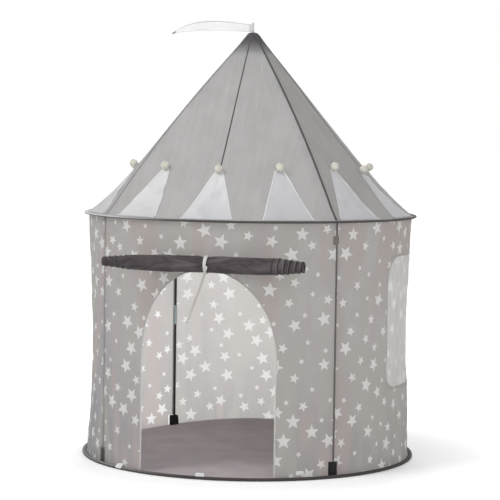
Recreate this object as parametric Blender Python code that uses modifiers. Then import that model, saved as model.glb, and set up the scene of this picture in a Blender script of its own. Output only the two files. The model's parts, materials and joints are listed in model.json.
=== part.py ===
# Round play tent: four wall panels and a cone roof on sprung hoops and jointed rods,
# with an arched door, a rolled door flap, a netted side window, pennants and a flag.
# The door faces -Y. An azimuth is measured from the door towards +X.
import math

import bmesh
import bpy
from mathutils import Matrix, Vector

# Main sizes in metres
tent_outer_radius = 0.525
binding_depth = 0.0132
binding_wall_gap = 0.0018
binding_inner_radius = tent_outer_radius - binding_depth
wall_radius = binding_inner_radius - binding_wall_gap
eave_height = 0.7608
roof_height = 0.5677
roof_top_height = eave_height + roof_height
roof_top_radius = 0.014
cloth_thickness = 0.001
clearance = 0.0003
seam_gap = 0.0004
smooth_angle = 40.0

# Round pieces share these stations, so that the gaps between them stay even
full_turn = 360.0
quarter_turn = 90.0
both = 2
half = 1 / both
ring_stations = 48
panel_count = 4
panel_angle = full_turn / panel_count
station_angle = full_turn / ring_stations
pole_azimuths = [panel_angle * (number + half) for number in range(panel_count)]

# Floor cloth
floor_gap = 0.0013
floor_radius = binding_inner_radius - floor_gap
floor_thickness = 0.0015

# Wall cloth
wall_foot_gap = 0.0011
wall_foot_height = floor_thickness + wall_foot_gap
wall_top_gap = 0.0008
front_waist = 0.010
back_waist = 0.014
right_waist = 0.011
left_waist = 0.018
wall_rows = 6

# Hoops: a sprung wire in a folded cloth binding that opens inwards
binding_wall = 0.0015
wire_depth = 0.005
wire_ring_radius = binding_inner_radius + wire_depth
wire_sides = 6
floor_binding_height = 0.014
floor_wire_radius = 0.0022
eave_binding_height = 0.007
eave_wire_radius = 0.0015
channel_depth_share = 0.70

# Door opening
door_half_width = 0.2085
door_straight_height = 0.365
door_top_drop = 0.1408
door_top_height = eave_height - door_top_drop
door_below_floor = 0.020
arch_steps = 16
cutter_half_depth = 0.12
cutter_inset = 0.04
cutter_distance = wall_radius - cutter_inset

# Window opening in the wall panel on the right
window_half_width = 0.158
window_foot_height = 0.245
window_top_drop = 0.1138
window_top_height = eave_height - window_top_drop
window_corner_radius = 0.050
corner_steps = 4
net_overlap = 0.008
net_gap = 0.0006
net_thickness = 0.0008
net_fold_depth = 0.0022
net_fold_count = 5
net_columns = 20
net_rows = 4

# Rods of the frame
pole_inset = 0.010
pole_distance = wall_radius - pole_inset
pole_radius = 0.004
pole_sides = 12
ferrule_foot_height = 0.360
ferrule_length = 0.065
ferrule_wall = 0.0012
pole_split_height = ferrule_foot_height + ferrule_length * half
roof_pole_depth = 0.009
roof_pole_end_radius = 0.020

# Elbows between the upright rods and the roof rods
elbow_radius = 0.0062
elbow_reach = 0.030
elbow_bend_reach = 0.010
elbow_bend_steps = 5
elbow_socket_depth = 0.016
curve_steps = 2

# Foot pockets
pocket_width = 0.033
pocket_depth = 0.0195
pocket_foot_gap = 0.0009
pocket_foot_height = floor_thickness + pocket_foot_gap
pocket_tall = 0.0456
pocket_top_height = pocket_foot_height + pocket_tall
socket_foot_thickness = 0.0141
pole_foot_height = pocket_foot_height + socket_foot_thickness
pocket_inner_top_share = 0.62
pocket_edge = 0.0012
notch_gap = 0.0005

# Roof cloth and apex
roof_foot_gap = 0.0008
roof_rows = 5
roof_pull_in = 0.055
roof_pull_power = 0.8
hub_top_drop = 0.005
hub_height = 0.0555
hub_top_height = roof_top_height - hub_top_drop
hub_foot_height = hub_top_height - hub_height
hub_depth = 0.003
pin_radius = 0.002
pin_height = 0.034
pin_top_height = roof_top_height + pin_height
cap_gap = 0.0009
cap_height = 0.0575
cap_foot_height = roof_top_height - cap_height
cap_thickness = 0.0008
cap_hole_gap = 0.001
cap_hole_radius = pin_radius + cap_hole_gap

# Pennants
pennant_count = 13
pennant_half_base = 0.079
pennant_length = 0.186
pennant_tip_half = 0.012
pennant_thickness = 0.001
pennant_foot_gap = 0.0011
pennant_roof_gap = 0.0016
pennant_samples = 6
pompom_radius = 0.0140
pompom_columns = 10
pompom_rows = 7

# Flag
flag_angle = -75.1
flag_length = 0.262
flag_half_height = 0.0143
flag_tip_half = 0.0012
flag_taper_power = 5
flag_middle_height = 0.0148
flag_rise = 0.044
flag_fall = 0.0645
flag_wave_depth = 0.006
flag_wave_count = 1.6
flag_columns = 12
sleeve_foot_gap = 0.0008
sleeve_foot_height = roof_top_height + cap_gap + cap_thickness + sleeve_foot_gap
sleeve_height = 0.030
sleeve_bore_gap = 0.0004
sleeve_bore = pin_radius + sleeve_bore_gap
sleeve_wall = 0.0014

# Rolled door flap
roll_rise = 0.016
roll_height = door_top_height + roll_rise
roll_outer_radius = 0.0255
roll_start_radius = 0.0095
roll_turns = 6.5
roll_cloth = 0.0018
roll_stations = 16
roll_half_length = 0.306
roll_step = 0.017
roll_outer_half = 0.222
roll_pinch_half = 0.050
roll_pinch_share = 0.92
lead_half_width = 0.200
lead_height = 0.012
lead_gap = 0.0025
lead_distance = wall_radius + lead_gap
header_lap = 0.0015
header_height = 0.0145
header_foot_height = roll_height + header_lap
header_top_height = header_foot_height + header_height
header_gap = 0.0005
header_columns = 6

# Tie that holds the roll
tie_offset = 0.0135
tie_width = 0.008
tie_gap = 0.0008
tie_thickness = 0.0009
tie_stations = 24
tail_radius = 0.0025
tail_point_count = 9
tail_gap = 0.00024
tail_lead = 0.0035
tail_start_drop = 0.004
tail_aside = 0.053
tail_outwards = 0.0028
tail_fall = 0.167
tail_sway = 0.006


def clear_scene():
    for thing in list(bpy.data.objects):
        bpy.data.objects.remove(thing, do_unlink=True)


def new_collection(name):
    collection = bpy.data.collections.new(name)
    bpy.context.scene.collection.children.link(collection)
    return collection


def cloth_material(name, colour, roughness, metallic=0.0):
    material = bpy.data.materials.new(name)
    material.use_nodes = True
    shader = material.node_tree.nodes["Principled BSDF"]
    shader.inputs["Base Color"].default_value = (*colour, 1.0)
    shader.inputs["Roughness"].default_value = roughness
    shader.inputs["Metallic"].default_value = metallic
    return material


def direction(azimuth):
    turn = math.radians(azimuth)
    return Vector((math.sin(turn), -math.cos(turn), 0.0))


def polar(radius, azimuth, height):
    return direction(azimuth) * radius + Vector((0.0, 0.0, height))


def facing(azimuth):
    # Turns a piece so that its own +X points away from the middle of the tent
    return math.radians(azimuth - quarter_turn)


def add_object(name, mesh, material, collection, location=(0.0, 0.0, 0.0), turn=0.0):
    thing = bpy.data.objects.new(name, mesh)
    collection.objects.link(thing)
    thing.location = location
    thing.rotation_euler = (0.0, 0.0, turn)
    if material is not None and not mesh.materials:
        mesh.materials.append(material)
    return thing


def solidify(thing, thickness, offset):
    modifier = thing.modifiers.new("cloth", "SOLIDIFY")
    modifier.thickness = thickness
    modifier.offset = offset
    modifier.use_even_offset = True
    return modifier


def cut(thing, cutter, operation="DIFFERENCE"):
    modifier = thing.modifiers.new("opening", "BOOLEAN")
    modifier.operation = operation
    modifier.solver = "EXACT"
    modifier.object = cutter
    return modifier


def finished_mesh(thing, name):
    # The shape with its modifiers, as a mesh that copies can share
    graph = bpy.context.evaluated_depsgraph_get()
    graph.update()
    mesh = bpy.data.meshes.new_from_object(thing.evaluated_get(graph))
    mesh.name = name
    work = bmesh.new()
    work.from_mesh(mesh)
    bmesh.ops.remove_doubles(work, verts=work.verts, dist=clearance / 10)
    work.to_mesh(mesh)
    work.free()
    return mesh


def grid_mesh(name, columns, rows, place, skip=()):
    # A flat grid laid onto a surface: place(column, row) gives each point
    work = bmesh.new()
    bmesh.ops.create_grid(work, x_segments=columns, y_segments=rows, size=half)
    dropped = []
    for face in work.faces:
        middle = face.calc_center_median()
        column = math.floor((middle.x + half) * columns)
        row = math.floor((middle.y + half) * rows)
        if (column, row) in skip:
            dropped.append(face)
    bmesh.ops.delete(work, geom=dropped, context="FACES")
    for vertex in work.verts:
        column = round((vertex.co.x + half) * columns)
        row = round((vertex.co.y + half) * rows)
        vertex.co = place(column, row)
    mesh = bpy.data.meshes.new(name)
    work.to_mesh(mesh)
    work.free()
    return mesh


def profile_mesh(name, points, closed):
    work = bmesh.new()
    corners = [work.verts.new(point) for point in points]
    for first, second in zip(corners, corners[1:]):
        work.edges.new((first, second))
    if closed:
        work.edges.new((corners[-1], corners[0]))
    mesh = bpy.data.meshes.new(name)
    work.to_mesh(mesh)
    work.free()
    return mesh


def turn_profile(thing, steps, axis="Z"):
    modifier = thing.modifiers.new("turned", "SCREW")
    modifier.axis = axis
    modifier.angle = math.radians(full_turn)
    modifier.steps = steps
    modifier.render_steps = steps
    modifier.use_merge_vertices = True
    modifier.merge_threshold = clearance / 10
    return modifier


def rod_mesh(name, radius, foot, top, sides=pole_sides):
    work = bmesh.new()
    bmesh.ops.create_cone(
        work,
        cap_ends=True,
        segments=sides,
        radius1=radius,
        radius2=radius,
        depth=top - foot,
        matrix=Matrix.Translation((0.0, 0.0, (top + foot) * half)),
    )
    mesh = bpy.data.meshes.new(name)
    work.to_mesh(mesh)
    work.free()
    return mesh


def tube_mesh(name, bore, outer, foot, top, sides):
    points = [(outer, 0.0, top), (outer, 0.0, foot), (bore, 0.0, foot), (bore, 0.0, top)]
    profile = profile_mesh(name, points, True)
    shape = add_object(name, profile, None, cutters)
    turn_profile(shape, sides)
    mesh = finished_mesh(shape, name)
    bpy.data.objects.remove(shape, do_unlink=True)
    return mesh


def outline_cutter(name, outline, turn):
    # A flat outline given as (across, height), pushed out both ways along +X
    curve = bpy.data.curves.new(name, "CURVE")
    curve.dimensions = "2D"
    curve.fill_mode = "BOTH"
    curve.extrude = cutter_half_depth
    spline = curve.splines.new("POLY")
    spline.points.add(len(outline) - 1)
    for point, (across, height) in zip(spline.points, outline):
        point.co = (across, height, 0.0, 1.0)
    spline.use_cyclic_u = True
    shape = bpy.data.objects.new(name, curve)
    cutters.objects.link(shape)
    mesh = finished_mesh(shape, name)
    bpy.data.objects.remove(shape, do_unlink=True)
    upright = Matrix(((0.0, 0.0, 1.0), (1.0, 0.0, 0.0), (0.0, 1.0, 0.0))).to_4x4()
    mesh.transform(upright)
    cutter = add_object(name, mesh, None, cutters, turn=turn)
    cutter.hide_render = True
    cutter.display_type = "WIRE"
    return cutter


def smooth(thing):
    thing.data.shade_smooth()
    thing.data.set_sharp_from_angle(angle=math.radians(smooth_angle))


clear_scene()
tent = new_collection("play_tent")
cutters = new_collection("cutters")
cutters.hide_render = True

wall_cloth = cloth_material("wall_cloth", (0.43, 0.40, 0.38), 0.85)
roof_cloth = cloth_material("roof_cloth", (0.44, 0.44, 0.44), 0.85)
floor_cloth = cloth_material("floor_cloth", (0.23, 0.20, 0.20), 0.80)
binding_cloth = cloth_material("binding_cloth", (0.08, 0.075, 0.07), 0.80)
cap_cloth = cloth_material("cap_cloth", (0.30, 0.30, 0.30), 0.85)
roll_cloth_material = cloth_material("roll_cloth", (0.085, 0.065, 0.075), 0.65)
white_cloth = cloth_material("white_cloth", (0.75, 0.75, 0.79), 0.80)
net_cloth = cloth_material("net_cloth", (0.62, 0.62, 0.60), 0.75)
tape_cloth = cloth_material("tape_cloth", (0.67, 0.65, 0.62), 0.80)
pocket_cloth = cloth_material("pocket_cloth", (0.02, 0.02, 0.022), 0.70)
pennant_cloth = cloth_material("pennant_cloth", (0.74, 0.74, 0.77), 0.80)
black_rod = cloth_material("black_rod", (0.008, 0.008, 0.009), 0.35)
black_plastic = cloth_material("black_plastic", (0.012, 0.012, 0.013), 0.45)
ferrule_metal = cloth_material("ferrule_metal", (0.30, 0.36, 0.37), 0.30, 1.0)
spring_wire = cloth_material("spring_wire", (0.35, 0.35, 0.36), 0.35, 1.0)

# The roof line, seen from the side: how far it leans in as it rises
roof_run = wall_radius - roof_top_radius
roof_rise = roof_top_height - eave_height
roof_slant = math.hypot(roof_run, roof_rise)
lean_in = roof_run / roof_slant
lean_up = roof_rise / roof_slant


def roof_radius(height):
    share = (roof_top_height - height) / roof_rise
    return roof_top_radius + roof_run * share


# Floor sheet
work = bmesh.new()
bmesh.ops.create_cone(
    work,
    cap_ends=True,
    segments=ring_stations,
    radius1=floor_radius,
    radius2=floor_radius,
    depth=floor_thickness,
)
floor_mesh = bpy.data.meshes.new("floor_sheet")
work.to_mesh(floor_mesh)
work.free()
add_object("floor_sheet", floor_mesh, floor_cloth, tent, (0.0, 0.0, floor_thickness * half))


# Hoops
def add_binding(name, foot, height):
    top = foot + height
    depth = (tent_outer_radius - binding_inner_radius) * channel_depth_share
    channel_end = binding_inner_radius + depth
    channel_foot = foot + binding_wall
    channel_top = top - binding_wall
    points = [
        (tent_outer_radius, 0.0, top),
        (tent_outer_radius, 0.0, foot),
        (binding_inner_radius, 0.0, foot),
        (binding_inner_radius, 0.0, channel_foot),
        (channel_end, 0.0, channel_foot),
        (channel_end, 0.0, channel_top),
        (binding_inner_radius, 0.0, channel_top),
        (binding_inner_radius, 0.0, top),
    ]
    thing = add_object(name, profile_mesh(name, points, True), binding_cloth, tent)
    turn_profile(thing, ring_stations)


def add_wire(name, radius, height):
    points = []
    for number in range(wire_sides):
        turn = -math.radians(full_turn * number / wire_sides)
        across = wire_ring_radius + radius * math.cos(turn)
        points.append((across, 0.0, height + radius * math.sin(turn)))
    thing = add_object(name, profile_mesh(name, points, True), spring_wire, tent)
    turn_profile(thing, ring_stations)


add_binding("floor_hoop_binding", 0.0, floor_binding_height)
add_wire("floor_hoop_wire", floor_wire_radius, binding_wall + clearance + floor_wire_radius)
add_binding("eave_hoop_binding", eave_height - eave_binding_height * half, eave_binding_height)
add_wire("eave_hoop_wire", eave_wire_radius, eave_height)


# Wall panels: taut at the rods, drawn in between them
def wall_point(centre, waist, azimuth, height, inwards=0.0):
    across = (azimuth - centre) / (panel_angle * half)
    rise = (height - wall_foot_height) / (eave_height - wall_foot_height)
    pulled = waist * (1 - across**2) * math.sin(math.pi * min(max(rise, 0.0), 1.0))
    return polar(wall_radius - pulled - inwards, azimuth, height)


notch_angle = math.degrees((pocket_width * half + notch_gap) / wall_radius)
notch_top = pocket_top_height + notch_gap
seam_angle = math.degrees(seam_gap / wall_radius)
panel_stations = round(panel_angle / station_angle)
wall_columns = panel_stations + both


def wall_column(column):
    # Stations across a panel, with one more at each foot pocket
    side = panel_angle * half
    if column == 0:
        return seam_angle - side
    if column == wall_columns:
        return side - seam_angle
    if column == 1:
        return notch_angle - side
    if column == wall_columns - 1:
        return side - notch_angle
    return station_angle * (column - 1) - side


def add_wall(name, centre, waist):
    wall_top = eave_height - wall_top_gap
    free_rows = wall_rows - 1

    def place(column, row):
        height = wall_foot_height
        if row > 0:
            height = notch_top + (wall_top - notch_top) * (row - 1) / free_rows
        return wall_point(centre, waist, centre + wall_column(column), height)

    skip = [(0, 0), (wall_columns - 1, 0)]
    mesh = grid_mesh(name, wall_columns, wall_rows, place, skip)
    thing = add_object(name, mesh, wall_cloth, tent)
    solidify(thing, cloth_thickness, -1.0)
    return thing


wall_front = add_wall("wall_front", 0.0, front_waist)
wall_right = add_wall("wall_right", panel_angle, right_waist)
add_wall("wall_back", panel_angle * both, back_waist)
add_wall("wall_left", -panel_angle, left_waist)

arch = [(-door_half_width, -door_below_floor), (door_half_width, -door_below_floor)]
for number in range(arch_steps + 1):
    turn = math.pi * number / arch_steps
    arch_rise = (door_top_height - door_straight_height) * math.sin(turn)
    arch.append((door_half_width * math.cos(turn), door_straight_height + arch_rise))
door_cutter = outline_cutter("door_cutter", arch, facing(0.0))
door_cutter.location = direction(0.0) * cutter_distance
cut(wall_front, door_cutter)

pane = []
pane_middle = (window_top_height + window_foot_height) * half
pane_half_height = (window_top_height - window_foot_height) * half
for corner in range(4):
    for number in range(corner_steps + 1):
        turn = math.radians(quarter_turn * (corner + number / corner_steps))
        right_side = 1 if corner in (0, 3) else -1
        upper_side = 1 if corner in (0, 1) else -1
        across = right_side * (window_half_width - window_corner_radius)
        height = pane_middle + upper_side * (pane_half_height - window_corner_radius)
        across += window_corner_radius * math.cos(turn)
        height += window_corner_radius * math.sin(turn)
        pane.append((across, height))
window_cutter = outline_cutter("window_cutter", pane, facing(panel_angle))
window_cutter.location = direction(panel_angle) * cutter_distance
cut(wall_right, window_cutter)

# Window net behind its opening, in soft upright folds
net_angle = math.degrees(math.asin(window_half_width / wall_radius) + net_overlap / wall_radius)


def net_place(column, row):
    # Follows the flats of the wall, which run from station to station
    share = column / net_columns
    azimuth = panel_angle + net_angle * (share - half) * both
    rise = row / net_rows
    foot = window_foot_height - net_overlap
    height = foot + (window_top_height + net_overlap - foot) * rise
    fold = net_fold_depth * (1 - math.cos(both * math.pi * net_fold_count * share))
    point = wall_point(panel_angle, right_waist, azimuth, height, cloth_thickness + net_gap + fold)
    from_middle = azimuth % station_angle - station_angle * half
    flat = math.cos(math.radians(station_angle * half)) / math.cos(math.radians(from_middle))
    return Vector((point.x * flat, point.y * flat, point.z))


net = add_object(
    "window_mesh", grid_mesh("window_mesh", net_columns, net_rows, net_place), net_cloth, tent
)
solidify(net, net_thickness, -1.0)


# Roof panels: straight over the rods, drawn in between them
roof_foot = eave_height + roof_foot_gap


def drawn_radius(azimuth, row):
    # azimuth is measured from the middle of the panel
    rise = row / roof_rows
    height = roof_foot + (roof_top_height - roof_foot) * rise
    across = azimuth / (panel_angle * half)
    pull = roof_pull_in * (1 - across**2) * math.sin(math.pi * rise**roof_pull_power)
    return roof_radius(height) * (1 - pull), height


def add_roof(name, centre):
    def place(column, row):
        side = panel_angle * half
        azimuth = station_angle * column - side
        height = drawn_radius(azimuth, row)[1]
        edge = side - math.degrees(seam_gap / roof_radius(height))
        azimuth = max(min(azimuth, edge), -edge)
        return polar(drawn_radius(azimuth, row)[0], centre + azimuth, height)

    mesh = grid_mesh(name, panel_stations, roof_rows, place)
    thing = add_object(name, mesh, roof_cloth, tent)
    solidify(thing, cloth_thickness, -1.0)


add_roof("roof_front", 0.0)
add_roof("roof_right", panel_angle)
add_roof("roof_back", panel_angle * both)
add_roof("roof_left", -panel_angle)

# Where an upright rod's line meets the line of its roof rod
rod_inset = (wall_radius - pole_distance) * lean_up
bend_height = eave_height - (roof_pole_depth - rod_inset) / lean_in
roof_pole_run = pole_distance - roof_pole_end_radius
roof_pole_length = roof_pole_run / lean_in
roof_pole_tilt = -math.asin(lean_in)


# Foot pockets with a socket for the rod, and a notch in the wall around them
def pocket_mesh():
    height = pocket_top_height - pocket_foot_height
    work = bmesh.new()
    bmesh.ops.create_cube(work, size=1.0)
    for vertex in work.verts:
        share = 1.0
        if vertex.co.x < 0.0 and vertex.co.z > 0.0:
            share = pocket_inner_top_share
        across = vertex.co.y * pocket_width * share
        vertex.co = (vertex.co.x * pocket_depth, across, vertex.co.z * height)
    mesh = bpy.data.meshes.new("pocket_block")
    work.to_mesh(mesh)
    work.free()
    block = add_object("pocket_block", mesh, pocket_cloth, cutters)
    bevel = block.modifiers.new("edge", "BEVEL")
    bevel.width = pocket_edge
    bevel.segments = 2
    middle_radius = wall_radius - pocket_depth * half
    middle_height = (pocket_top_height + pocket_foot_height) * half
    socket_foot = pole_foot_height - clearance - middle_height
    socket = rod_mesh("pocket_socket", pole_radius + clearance, socket_foot, height)
    hole = add_object("pocket_socket", socket, None, cutters)
    hole.location = (pole_distance - middle_radius, 0.0, 0.0)
    cut(block, hole)
    result = finished_mesh(block, "foot_pocket")
    bpy.data.objects.remove(block, do_unlink=True)
    bpy.data.objects.remove(hole, do_unlink=True)
    return result, middle_radius, middle_height


# Elbow: a bent tube with a socket at each end. Its own frame has +X outwards.
def elbow_mesh():
    curve = bpy.data.curves.new("elbow_line", "CURVE")
    curve.dimensions = "3D"
    curve.bevel_depth = elbow_radius
    curve.bevel_resolution = curve_steps
    curve.use_fill_caps = True
    slope = Vector((-lean_in, 0.0, lean_up))
    upright = Vector((0.0, 0.0, 1.0))
    points = [upright * -elbow_reach]
    for number in range(elbow_bend_steps + 1):
        share = number / elbow_bend_steps
        start = upright * -elbow_bend_reach * (1 - share) ** 2
        end = slope * elbow_bend_reach * share**2
        points.append(start + end)
    points.append(slope * elbow_reach)
    spline = curve.splines.new("POLY")
    spline.points.add(len(points) - 1)
    for point, place in zip(spline.points, points):
        point.co = (*place, 1.0)
    line = bpy.data.objects.new("elbow_line", curve)
    cutters.objects.link(line)
    solid = finished_mesh(line, "elbow_solid")
    bpy.data.objects.remove(line, do_unlink=True)
    block = add_object("elbow_solid", solid, black_plastic, cutters)
    inner = elbow_reach - elbow_socket_depth
    socket = rod_mesh("elbow_socket", pole_radius + clearance, inner, elbow_reach * both)
    lower = add_object("elbow_lower", socket, None, cutters)
    lower.rotation_euler = (math.pi, 0.0, 0.0)
    upper = add_object("elbow_upper", socket, None, cutters)
    upper.rotation_euler = (0.0, roof_pole_tilt, 0.0)
    cut(block, lower)
    cut(block, upper)
    result = finished_mesh(block, "eave_elbow")
    for thing in (block, lower, upper):
        bpy.data.objects.remove(thing, do_unlink=True)
    return result


pocket_shape, pocket_radius, pocket_height = pocket_mesh()
elbow_shape = elbow_mesh()
socket_start = elbow_reach - elbow_socket_depth + clearance
split_gap = clearance * half
lower_length = pole_split_height - split_gap - pole_foot_height
lower_shape = rod_mesh("wall_pole_lower", pole_radius, 0.0, lower_length)
upper_top = bend_height - socket_start
upper_foot = pole_split_height + split_gap
upper_shape = rod_mesh("wall_pole_upper", pole_radius, 0.0, upper_top - upper_foot)
roof_rod_shape = rod_mesh("roof_pole", pole_radius, socket_start, roof_pole_length)
ferrule_shape = tube_mesh(
    "pole_ferrule",
    pole_radius + clearance,
    pole_radius + clearance + ferrule_wall,
    0.0,
    ferrule_length,
    pole_sides,
)
for shape, material in (
    (pocket_shape, pocket_cloth),
    (elbow_shape, black_plastic),
    (lower_shape, black_rod),
    (upper_shape, black_rod),
    (roof_rod_shape, black_rod),
    (ferrule_shape, ferrule_metal),
):
    shape.materials.clear()
    shape.materials.append(material)

corner_names = ("front_right", "back_right", "back_left", "front_left")
for corner_name, azimuth in zip(corner_names, pole_azimuths):
    turn = facing(azimuth)
    foot = polar(pole_distance, azimuth, 0.0)
    bend = polar(pole_distance, azimuth, bend_height)
    pocket_place = polar(pocket_radius, azimuth, pocket_height)
    add_object("foot_pocket_" + corner_name, pocket_shape, None, tent, pocket_place, turn)
    lower_place = foot + Vector((0.0, 0.0, pole_foot_height))
    add_object("wall_pole_lower_" + corner_name, lower_shape, None, tent, lower_place, turn)
    ferrule_place = foot + Vector((0.0, 0.0, ferrule_foot_height))
    add_object("pole_ferrule_" + corner_name, ferrule_shape, None, tent, ferrule_place, turn)
    upper_place = foot + Vector((0.0, 0.0, upper_foot))
    add_object("wall_pole_upper_" + corner_name, upper_shape, None, tent, upper_place, turn)
    add_object("eave_elbow_" + corner_name, elbow_shape, None, tent, bend, turn)
    rod = add_object("roof_pole_" + corner_name, roof_rod_shape, None, tent, bend, turn)
    rod.rotation_euler = (0.0, roof_pole_tilt, turn)

# Apex hub with four sockets below and a pin above for the flag
hub_side = hub_depth / lean_up + cloth_thickness / lean_up
hub_points = [
    (0.0, 0.0, pin_top_height),
    (pin_radius, 0.0, pin_top_height),
    (pin_radius, 0.0, hub_top_height),
    (roof_radius(hub_top_height) - hub_side, 0.0, hub_top_height),
    (roof_radius(hub_foot_height) - hub_side, 0.0, hub_foot_height),
    (0.0, 0.0, hub_foot_height),
]
hub = add_object("apex_hub", profile_mesh("apex_hub", hub_points, False), black_plastic, tent)
turn_profile(hub, ring_stations // both)
for corner_name, azimuth in zip(corner_names, pole_azimuths):
    socket_foot = roof_pole_length - ferrule_length * both
    socket = rod_mesh("hub_socket", pole_radius + clearance, 0.0, ferrule_length * both + clearance)
    hole = add_object("hub_socket_" + corner_name, socket, None, cutters)
    slope = direction(azimuth) * -lean_in + Vector((0.0, 0.0, lean_up))
    hole.location = polar(pole_distance, azimuth, bend_height) + slope * socket_foot
    hole.rotation_euler = (0.0, roof_pole_tilt, facing(azimuth))
    hole.hide_render = True
    hole.display_type = "WIRE"
    cut(hub, hole)

# Apex cap over the seams of the roof
cap_side = cap_gap / lean_up
cap_points = [
    (cap_hole_radius, 0.0, roof_top_height + cap_gap),
    (roof_top_radius + cap_side * half, 0.0, roof_top_height + cap_gap),
    (roof_radius(cap_foot_height) + cap_side, 0.0, cap_foot_height),
]
cap = add_object("apex_cap", profile_mesh("apex_cap", cap_points, False), cap_cloth, tent)
turn_profile(cap, ring_stations)
solidify(cap, cap_thickness, 1.0)


# Pennants: each is a stiff triangle with a yarn ball, hinged along its lower edge.
# Its own frame has +X along the hinge, +Y up the roof and +Z away from it.
def pennant_mesh():
    half_base = pennant_half_base
    outline = [
        (-half_base, 0.0),
        (half_base, 0.0),
        (pennant_tip_half, pennant_length),
        (-pennant_tip_half, pennant_length),
    ]
    curve = bpy.data.curves.new("pennant_outline", "CURVE")
    curve.dimensions = "2D"
    curve.fill_mode = "BOTH"
    curve.extrude = pennant_thickness * half
    spline = curve.splines.new("POLY")
    spline.points.add(len(outline) - 1)
    for point, (across, up) in zip(spline.points, outline):
        point.co = (across, up, 0.0, 1.0)
    spline.use_cyclic_u = True
    flat = bpy.data.objects.new("pennant_outline", curve)
    cutters.objects.link(flat)
    sheet = add_object("pennant_flat", finished_mesh(flat, "pennant_flat"), None, cutters)
    bpy.data.objects.remove(flat, do_unlink=True)
    work = bmesh.new()
    bmesh.ops.create_uvsphere(
        work, u_segments=pompom_columns, v_segments=pompom_rows, radius=pompom_radius
    )
    ball = bpy.data.meshes.new("pompom")
    work.to_mesh(ball)
    work.free()
    lift = pompom_radius - pennant_thickness * half
    ball_object = add_object("pompom", ball, None, cutters, (0.0, pennant_length, lift))
    cut(sheet, ball_object, "UNION")
    result = finished_mesh(sheet, "pennant")
    bpy.data.objects.remove(sheet, do_unlink=True)
    bpy.data.objects.remove(ball_object, do_unlink=True)
    return result


pennant_shape = pennant_mesh()
pennant_shape.materials.clear()
pennant_shape.materials.append(pennant_cloth)
pennant_foot = eave_height + eave_binding_height * half + pennant_foot_gap
pennant_offset = pennant_roof_gap + pennant_thickness * half
pennant_base = roof_radius(pennant_foot) + pennant_offset / lean_up


def roof_lean(frame):
    # How far a pennant can lean in before it meets the drawn-in roof
    leans = []
    for row in range(1, pennant_samples + 1):
        share = row / pennant_samples
        wide = pennant_half_base * (1 - share) + pennant_tip_half * share
        for column in range(-pennant_samples, pennant_samples + 1):
            up = share * pennant_length
            point = frame @ Vector((wide * column / pennant_samples, up, 0.0))
            azimuth = math.degrees(math.atan2(point.x, -point.y)) + panel_angle * half
            azimuth = azimuth % panel_angle - panel_angle * half
            level = (point.z - roof_foot) / (roof_top_height - roof_foot) * roof_rows
            lower, lower_height = drawn_radius(azimuth, math.floor(level))
            upper, upper_height = drawn_radius(azimuth, math.floor(level) + 1)
            part = (point.z - lower_height) / (upper_height - lower_height)
            surface = lower + (upper - lower) * part
            free = (math.hypot(point.x, point.y) - surface) * lean_up - pennant_offset
            leans.append(math.atan2(free, up))
    return max(min(leans), 0.0)


for number in range(pennant_count):
    azimuth = full_turn * number / pennant_count
    out = direction(azimuth)
    along = direction(azimuth + quarter_turn)
    up_roof = out * -lean_in + Vector((0.0, 0.0, lean_up))
    away = out * lean_up + Vector((0.0, 0.0, lean_in))
    frame = Matrix((along, up_roof, away)).transposed().to_4x4()
    frame = Matrix.Translation(polar(pennant_base, azimuth, pennant_foot)) @ frame
    pennant = add_object(f"pennant_{number:02d}", pennant_shape, None, tent)
    pennant.matrix_world = frame @ Matrix.Rotation(-roof_lean(frame), 4, "X")

# Flag: a sleeve that turns on the pin, with its cloth streaming to one side
sleeve = add_object(
    "flag_sleeve",
    tube_mesh(
        "flag_sleeve", sleeve_bore, sleeve_bore + sleeve_wall, 0.0, sleeve_height, pole_sides
    ),
    None,
    cutters,
)


def flag_place(column, row):
    share = column / flag_columns
    reach = sleeve_bore + sleeve_wall * half
    middle = flag_middle_height + flag_rise * share - flag_fall * share**2
    tall = max(flag_half_height * (1 - share**flag_taper_power), flag_tip_half)
    wave = flag_wave_depth * share * math.sin(both * math.pi * flag_wave_count * share)
    return Vector((reach + flag_length * share, wave, middle + tall * (row - 1)))


flag = add_object("flag", grid_mesh("flag", flag_columns, 2, flag_place), white_cloth, tent)
solidify(flag, cloth_thickness, 0.0)
cut(flag, sleeve, "UNION")
flag_shape = finished_mesh(flag, "flag_cloth")
bpy.data.objects.remove(flag, do_unlink=True)
bpy.data.objects.remove(sleeve, do_unlink=True)
flag_shape.materials.clear()
flag_shape.materials.append(white_cloth)
flag = add_object("flag", flag_shape, None, tent, (0.0, 0.0, sleeve_foot_height))
flag.rotation_euler = (0.0, 0.0, facing(flag_angle))

# Door flap, rolled up: a strip in a spiral, wider in its inner turns
roll_pitch = (roll_outer_radius - roll_start_radius) / roll_turns
roll_distance = lead_distance + cloth_thickness + clearance + roll_outer_radius
roll_columns = round(roll_turns * roll_stations)


def roll_place(column, row):
    turn = column / roll_stations
    radius = roll_start_radius + roll_pitch * turn
    end = min(roll_half_length, roll_outer_half + roll_step * (roll_turns - turn))
    across = (-end, -roll_pinch_half, 0.0, roll_pinch_half, end)[row]
    if row == 2:
        radius *= roll_pinch_share
    angle = both * math.pi * (turn - roll_turns)
    return Vector((across, radius * math.cos(angle), radius * math.sin(angle)))


roll_shape = grid_mesh("door_flap_roll", roll_columns, 4, roll_place)
roll = add_object("door_flap_roll", roll_shape, roll_cloth_material, tent)
roll.location = (0.0, -roll_distance, roll_height)
solidify(roll, roll_cloth, -1.0)


def box_mesh(name, wide, deep, tall):
    work = bmesh.new()
    bmesh.ops.create_cube(work, size=1.0, matrix=Matrix.Diagonal((wide, deep, tall, 1.0)))
    mesh = bpy.data.meshes.new(name)
    work.to_mesh(mesh)
    work.free()
    return mesh


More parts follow.
